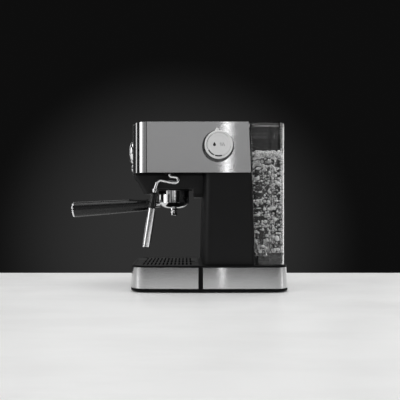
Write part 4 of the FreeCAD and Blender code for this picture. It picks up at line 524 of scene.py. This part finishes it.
def button_marks():
    """The print on each button, which moves with it."""
    marks = {"power_button": power_mark, "coffee_button": cup_mark, "steam_button": steam_mark}
    for name, mark in marks.items():
        shape = bmesh.new()
        mark(shape, button_face(name))
        add(name + "_mark", shape, "ink", name)


# ---- steam knob ----------------------------------------------------------------------------------
DROP_CENTRE = (-7.6, -0.6)
DROP_RADIUS = 2.5
DROP_TIP = 4.2                # how high the drop's point is
KNOB_CURLS = (3.2, 6.0, 8.8)
KNOB_CURL_WIDTH = 0.7


def knob_marks():
    """Print on the knob (a hot-water drop, steam curls, the valve's scale) and painted shade in its
    rim's groove.
    """
    plane = Plane(KNOB_CENTRE, (0, 1, 0), (0, 0, 1))
    ink = bmesh.new()
    drop = [polar(DROP_RADIUS, turn, DROP_CENTRE) for turn in range(-215, 36, 18)]
    blob(ink, plane, [(DROP_CENTRE[0], DROP_TIP)] + drop[::-1])
    arc_band(ink, plane, inner=19.0, outer=21.1, start=208, end=246)
    arc_band(ink, plane, inner=18.8, outer=21.2, start=251, end=286)
    # Painted shade: the groove between the cap's rim and its face, drawn dark on the front side
    # where shade falls.
    arc_band(ink, plane, inner=20.3, outer=20.9, start=122, end=205)
    add("knob_print_and_groove_shade", ink, "ink", "steam_knob")
    light = bmesh.new()
    for side in KNOB_CURLS:
        stroke(light, plane, wave(side, foot=-3.0, height=6.0, sway=1.0, steps=12), KNOB_CURL_WIDTH)
    # Painted shade: the same groove drawn grey on the rear side and top, where less shade falls.
    for start, end in ((40, 118), (290, 352)):
        arc_band(light, plane, inner=20.4, outer=20.75, start=start, end=end)
    add("knob_grey_print_and_groove_shade", light, "grey_ink_and_painted_shade", "steam_knob")


# ---- tank valve's spring -------------------------------------------------------------------------
SPRING_MEAN = 5.0             # radius of the coil's centre line
SPRING_WIRE = 0.4             # radius of the wire
SPRING_COILS = 3.5
SPRING_STEPS, SPRING_SIDES = 140, 8


def valve_spring():
    """The CAD spring again as a coil of round wire, riding with the tank."""
    low, high = PLACE["tank_valve_spring"]
    middle = (Vector(low) + Vector(high)) / 2
    length = high[2] - low[2]
    wire = SPRING_WIRE * MM
    up = Vector((0, 0, 1))
    rolls = [math.tau * j / SPRING_SIDES for j in range(SPRING_SIDES)]
    shape = bmesh.new()
    rings = []
    for i in range(SPRING_STEPS + 1):
        turn = math.tau * SPRING_COILS * i / SPRING_STEPS
        out = Vector((math.cos(turn), math.sin(turn), 0.0))
        level = low[2] + wire + (length - 2 * wire) * i / SPRING_STEPS
        centre = Vector((middle.x, middle.y, level)) + out * SPRING_MEAN * MM
        rings.append([shape.verts.new(centre + (out * math.cos(roll) + up * math.sin(roll)) * wire)
                      for roll in rolls])
    for first, second in zip(rings, rings[1:]):
        bridge(shape, first, second)
    shape.faces.new(rings[0])
    shape.faces.new(rings[-1])
    obj = add("valve_spring_coil", shape, "plain_steel", "water_tank", True)
    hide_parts("tank_valve_spring")
    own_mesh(obj)


# ---- water tank ----------------------------------------------------------------------------------
WATER_GAP = 0.2               # between the water and the tank's walls
WATER_LAYERS = 12
WATER_RIM = (2.2, 0.9)        # how far in and down the water's surface curves from its edge
WELL_RADIUS, WELL_HEIGHT = 12.0, 14.0   # the space that the water leaves for the valve
WELL_SIDES = 24


def tank_front(level):
    """How far back the inside of the tank's front wall is at a level."""
    low, high = TANK_LEVELS
    part = (level - low) / (high - low)
    return TANK_FRONT[0] + (TANK_FRONT[1] - TANK_FRONT[0]) * part + TANK_WALL


def tank_outline(level, inset=0.0, steps=8):
    """Points round the inside of the tank at a level, counter-clockwise."""
    radius = TANK_INNER_RADIUS - inset
    half, rear = TANK_INNER_HALF - inset, TANK_INNER_REAR - inset
    front = tank_front(level) + inset
    corners = ((half - radius, rear - radius, 0), (-half + radius, rear - radius, 90),
               (-half + radius, front + radius, 180), (half - radius, front + radius, 270))
    return [polar(radius, start + 90 * i / steps, (x, y))
            for x, y, start in corners for i in range(steps + 1)]


def ring_at(shape, outline, level):
    """The outline's points, made at a level."""
    return [shape.verts.new((Vector((x, y, level)) + OFFSET) * MM) for x, y in outline]


def bridge(shape, first, second):
    """Quads all the way round between two rings."""
    for i in range(len(first)):
        after = (i + 1) % len(first)
        shape.faces.new((first[i], first[after], second[after], second[i]))


def water():
    """The water, standing a hair inside the tank's walls and clear of its valve."""
    shape = bmesh.new()
    depth = WATER_TOP - TANK_INNER_FLOOR
    levels = [TANK_INNER_FLOOR + depth * i / WATER_LAYERS for i in range(WATER_LAYERS + 1)]
    rings = [ring_at(shape, tank_outline(level, WATER_GAP), level) for level in levels]
    for lower, upper in zip(rings, rings[1:]):
        bridge(shape, lower, upper)
    rim = ring_at(shape, tank_outline(WATER_TOP, WATER_RIM[0]), WATER_TOP - WATER_RIM[1])
    bridge(shape, rings[-1], rim)
    shape.faces.new(rim)
    circle = [polar(WELL_RADIUS, 360 / WELL_SIDES * i, (0.0, VALVE_AXIS))
              for i in range(WELL_SIDES)]
    well = ring_at(shape, circle, TANK_INNER_FLOOR)
    roof = ring_at(shape, circle, TANK_INNER_FLOOR + WELL_HEIGHT)
    bridge(shape, well, roof)
    shape.faces.new(roof)
    loops = [edge for edge in shape.edges if len(edge.link_faces) == 1]
    bmesh.ops.triangle_fill(shape, use_beauty=True, edges=loops)
    add("tank_water", shape, "water", "water_tank", True)


# ---- bubbles and foam ----------------------------------------------------------------------------
BEAD_SQUASH = ((0.85, 1.1), (0.85, 1.1), (0.8, 1.15))   # of its radius, along x, y and z
BEAD_ROOM = 1.2               # a bead's largest half width, of its radius, and a little over
NEAR_WALLS = 0.85             # share of the bubbles drawn towards the walls
PLUMES, IN_PLUMES = 18, 0.62  # how many, and the share of the bubbles that rise in them
RISING, LARGEST = 440, 3.9
CLINGING = 120                # small bubbles in each rear corner
FOAM = 760


class Beads:
    """Many small rounded pieces gathered into one mesh."""

    def __init__(self, rng):
        self.rng = rng
        self.points, self.faces = [], []
        self.templates = {}
        for detail in (1, 2):
            shape = bmesh.new()
            bmesh.ops.create_icosphere(shape, subdivisions=detail, radius=1.0)
            corners = [tuple(vert.co) for vert in shape.verts]
            faces = [[vert.index for vert in face.verts] for face in shape.faces]
            self.templates[detail] = corners, faces
            shape.free()

    def put(self, place, radius, detail):
        """One slightly squashed and turned bead."""
        corners, faces = self.templates[detail]
        rng = self.rng
        squash = [radius * rng.uniform(*span) for span in BEAD_SQUASH]
        turn = rng.uniform(0, math.tau)
        first = len(self.points)
        middle = Vector(place) + OFFSET
        for corner in corners:
            x, y, z = (corner[i] * squash[i] for i in range(3))
            turned = Vector((x * math.cos(turn) - y * math.sin(turn),
                             x * math.sin(turn) + y * math.cos(turn), z))
            self.points.append((turned + middle) * MM)
        self.faces += [[first + i for i in face] for face in faces]

    def finish(self, name, look, body, slot):
        """Makes the object from the beads put so far."""
        mesh = bpy.data.meshes.new(name)
        mesh.from_pydata(self.points, [], self.faces)
        shape = bmesh.new()
        shape.from_mesh(mesh)
        bpy.data.meshes.remove(mesh)
        add(name, shape, look, body, True)


def spot(rng, level, margin, near):
    """A place across the tank at a level; near is the chance that it is pulled to a side wall."""
    half = TANK_INNER_HALF - margin
    front, rear = tank_front(level) + margin, TANK_INNER_REAR - margin
    across, along = rng.random(), rng.random()
    if rng.random() < near:
        across = (across ** 3) / 2 if rng.random() < 0.5 else 1 - (across ** 3) / 2
    x = -half + 2 * half * across
    y = front + (rear - front) * along
    corner = TANK_INNER_RADIUS
    if abs(x) > half - corner:
        y = min(max(y, front + corner * 0.45), rear - corner * 0.45)
    return x, y


def kept_inside(x, y, level, margin):
    """The same place, moved in from the tank's walls and rounded corners."""
    half = TANK_INNER_HALF - margin
    front, rear = tank_front(level) + margin, TANK_INNER_REAR - margin
    x, y = min(max(x, -half), half), min(max(y, front), rear)
    radius = max(1.0, TANK_INNER_RADIUS - margin)
    corner = Vector((min(max(x, -half + radius), half - radius),
                     min(max(y, front + radius), rear - radius)))
    out = Vector((x, y)) - corner
    if out.length > radius:
        x, y = corner + out.normalized() * radius
    return x, y


def rising_bubbles(rng, beads):
    """Bubbles of many sizes, most of them in plumes, and none at the valve."""
    plumes = [(spot(rng, 150.0, 6.0, NEAR_WALLS), rng.uniform(3.0, 8.0)) for _ in range(PLUMES)]
    low, high = TANK_INNER_FLOOR + 5.0, WATER_TOP - 3.0
    for _ in range(RISING):
        level = low + (high - low) * rng.random() ** 0.85
        radius = min(LARGEST, 0.6 + rng.expovariate(1.15))
        x, y = spot(rng, level, radius, NEAR_WALLS)
        if rng.random() < IN_PLUMES:
            centre, spread = rng.choice(plumes)
            x, y = centre[0] + rng.gauss(0, spread), centre[1] + rng.gauss(0, spread * 0.6)
        x, y = kept_inside(x, y, level, radius * BEAD_ROOM + 0.6)
        over_valve = math.hypot(x, y - VALVE_AXIS) < WELL_RADIUS + 3.0 + radius
        if over_valve and level < TANK_INNER_FLOOR + WELL_HEIGHT + 4.0:
            continue
        beads.put((x, y, level), radius, 2 if radius > 0.9 else 1)


def clinging_bubbles(rng, beads):
    """Small bubbles up the tank's rear corners."""
    low = TANK_INNER_FLOOR + 4.0
    for side in (-1, 1):
        for _ in range(CLINGING):
            level = low + (WATER_TOP - low) * rng.random()
            radius = rng.uniform(0.5, 1.5)
            x = side * (TANK_INNER_HALF - 9.0 * rng.random() ** 2)
            y = TANK_INNER_REAR - 7.0 * rng.random() ** 2
            x, y = kept_inside(x, y, level, radius * BEAD_ROOM + 0.5)
            beads.put((x, y, level), radius, 1)


def foam_bubbles(rng, beads):
    """The foam at the water's surface, with the smaller bubbles higher."""
    for _ in range(FOAM):
        radius = rng.uniform(0.9, 3.0)
        level = WATER_TOP + rng.uniform(-3.0, 5.5) + (2.0 - radius)
        x, y = spot(rng, level, radius, 0.6)
        x, y = kept_inside(x, y, level, radius * BEAD_ROOM + 0.5)
        beads.put((x, y, level), radius, 2 if radius > 1.4 else 1)


def bubbles():
    """Bubbles rising through the water, with foam where they gather on top."""
    rng = random.Random(41)
    rising, foam = Beads(rng), Beads(rng)
    rising_bubbles(rng, rising)
    clinging_bubbles(rng, rising)
    rising.finish("tank_bubbles", "bubble", "water_tank", "clear_plastic")
    foam_bubbles(rng, foam)
    foam.finish("tank_foam", "bubble", "water_tank", "clear_plastic")


gauge_marks()
button_marks()
knob_marks()
valve_spring()
water()
bubbles()


# ---- studio --------------------------------------------------------------------------------------
BACKDROP = 0.0045             # the dark backdrop, far from its glow
GLOW = 0.030                  # and behind the machine
GLOW_CENTRE = Vector((-1.0, -0.02, -0.06))
GLOW_EDGE = 0.94              # cosine of the angle from its centre at which the glow ends
AMBIENT = 0.44                # what matt surfaces are lit by
BODY, HEAD, TANK = (0, 0, 0.16), (0, 0, 0.2), (0, 0.1, 0.18)   # what the lamps point at
# Each lamp's name, place, target, width and height, radiance, and whether it shows through clear
# plastic.
LAMPS = (
    ("key", (0.55, -1.35, 0.75), BODY, (0.34, 1.3), 2.7, False),
    ("key_wide", (0.62, -1.42, 0.75), BODY, (1.1, 1.4), 0.85, False),
    ("front_fill", (1.75, -1.25, 0.8), BODY, (1.1, 1.3), 0.28, False),
    ("face", (2.5, 0.0, 0.95), HEAD, (1.5, 1.5), 0.41, False),
    ("streak", (1.5, 0.205, 0.55), (0, 0.09, 0.2), (0.016, 1.2), 3.0, False),
    ("rear_right", (0.55, 1.5, 0.8), (0, 0.1, 0.16), (0.4, 1.3), 3.6, True),
    ("rear", (0.0, 2.1, 0.9), (0, 0.1, 0.2), (1.6, 1.3), 0.45, False),
    ("rear_left", (-1.05, 1.3, 0.6), TANK, (0.7, 2.2), 1.3, True),
    ("left", (-2.0, 0.0, 0.95), BODY, (1.6, 1.4), 0.50, False),
    ("left_low", (-1.0, 0.0, -0.48), (-0.1, 0, 0.15), (2.2, 0.8), 0.42, False),
    ("front_left", (-1.15, -1.45, 0.8), BODY, (0.8, 1.3), 1.0, False),
    ("top", (0.1, 0.0, 1.9), HEAD, (1.5, 1.5), 1.9, True),
)
TABLE_LOW, TABLE_HIGH = Vector((-0.235, -1.6, -0.04)), Vector((1.25, 1.6, 0.0))
TABLE_EDGE = 0.004            # how far its edges are rounded
CAMERA_PLACE = (1.0295, 0.01755, 0.141)
CAMERA_LENS, CAMERA_SENSOR = 48.2, 36.0   # millimetres
CAMERA_SHIFT = (0.0375, 0.0325)


def calculate(tree, operation, first, second):
    """A maths node's result for a socket and another socket or a number."""
    made = tree.nodes.new("ShaderNodeMath")
    made.operation = operation
    tree.links.new(first, made.inputs[0])
    if isinstance(second, float):
        made.inputs[1].default_value = second
    else:
        tree.links.new(second, made.inputs[1])
    return made.outputs["Value"]


def studio():
    """Soft even light for matt surfaces, and a dark backdrop with a faint glow for the rest."""
    world = bpy.data.worlds.new("studio")
    bpy.context.scene.world = world
    world.use_nodes = True
    tree = world.node_tree
    nodes, links = tree.nodes, tree.links
    background = nodes["Background"]
    background.inputs["Strength"].default_value = 1.0
    where = nodes.new("ShaderNodeTexCoord")
    facing = nodes.new("ShaderNodeVectorMath")
    facing.operation = "DOT_PRODUCT"
    links.new(where.outputs["Generated"], facing.inputs[0])
    facing.inputs[1].default_value = GLOW_CENTRE.normalized()
    glow = nodes.new("ShaderNodeMapRange")
    glow.interpolation_type = "SMOOTHSTEP"
    glow.inputs["From Min"].default_value = GLOW_EDGE
    glow.inputs["From Max"].default_value = 1.0
    glow.inputs["To Min"].default_value = BACKDROP
    glow.inputs["To Max"].default_value = GLOW
    links.new(facing.outputs["Value"], glow.inputs["Value"])
    rays = nodes.new("ShaderNodeLightPath").outputs
    seen = calculate(tree, "MAXIMUM", rays["Is Camera Ray"], rays["Is Glossy Ray"])
    seen = calculate(tree, "MAXIMUM", seen, rays["Is Transmission Ray"])
    direct = calculate(tree, "LESS_THAN", rays["Diffuse Depth"], 0.5)
    mix = nodes.new("ShaderNodeMix")
    mix.data_type = "RGBA"
    mix.inputs["A"].default_value = (AMBIENT, AMBIENT, AMBIENT, 1.0)
    links.new(calculate(tree, "MULTIPLY", seen, direct), mix.inputs["Factor"])
    links.new(glow.outputs["Result"], mix.inputs["B"])
    links.new(mix.outputs["Result"], background.inputs["Color"])


def softbox(name, place, target, size, radiance, through):
    """A rectangular lamp that the camera doesn't see but metal does."""
    data = bpy.data.lights.new(name, "AREA")
    data.shape, data.size, data.size_y = "RECTANGLE", size[0], size[1]
    data.energy = radiance * math.pi * size[0] * size[1]
    lamp = bpy.data.objects.new(name, data)
    bpy.context.scene.collection.objects.link(lamp)
    lamp.location = place
    lamp.rotation_euler = (Vector(target) - Vector(place)).to_track_quat("-Z", "Y").to_euler()
    lamp.visible_camera = False
    lamp.visible_transmission = through


def table():
    """A pale table top with rounded edges."""
    mesh = bpy.data.meshes.new("table")
    shape = bmesh.new()
    bmesh.ops.create_cube(shape, size=1.0)
    for vert in shape.verts:
        vert.co = Vector(TABLE_LOW[i] if vert.co[i] < 0 else TABLE_HIGH[i] for i in range(3))
    edges = shape.edges[:]
    bmesh.ops.bevel(shape, geom=edges, offset=TABLE_EDGE, segments=4, affect="EDGES")
    shape.to_mesh(mesh)
    shape.free()
    obj = bpy.data.objects.new("table", mesh)
    bpy.context.scene.collection.objects.link(obj)
    look = Look("table", (0.84, 0.84, 0.835), 0.42)
    veins = look.noise(70.0, (1.0, 0.25, 1.0), detail=8.0, rough=0.62)
    look.tint(look.ramp(veins, 0.0, 1.0, start=0.42, end=0.56), spread=0.018)
    look.vary_rough(look.noise(90.0, detail=4.0), spread=0.06)
    look.bump(look.noise(3.0, detail=4.0), height=0.01)
    mesh.materials.append(look.mat)


def camera():
    """The photograph's view: level, from the machine's right-hand side."""
    data = bpy.data.cameras.new("camera")
    data.lens, data.sensor_width = CAMERA_LENS, CAMERA_SENSOR
    data.shift_x, data.shift_y = CAMERA_SHIFT
    data.clip_start = 0.05
    obj = bpy.data.objects.new("camera", data)
    obj.location = CAMERA_PLACE
    obj.rotation_euler = (math.radians(90), 0, math.radians(90))
    bpy.context.scene.collection.objects.link(obj)
    bpy.context.scene.camera = obj


studio()
for lamp in LAMPS:
    softbox(*lamp)
table()
camera()
bpy.context.scene.view_settings.view_transform = "Standard"
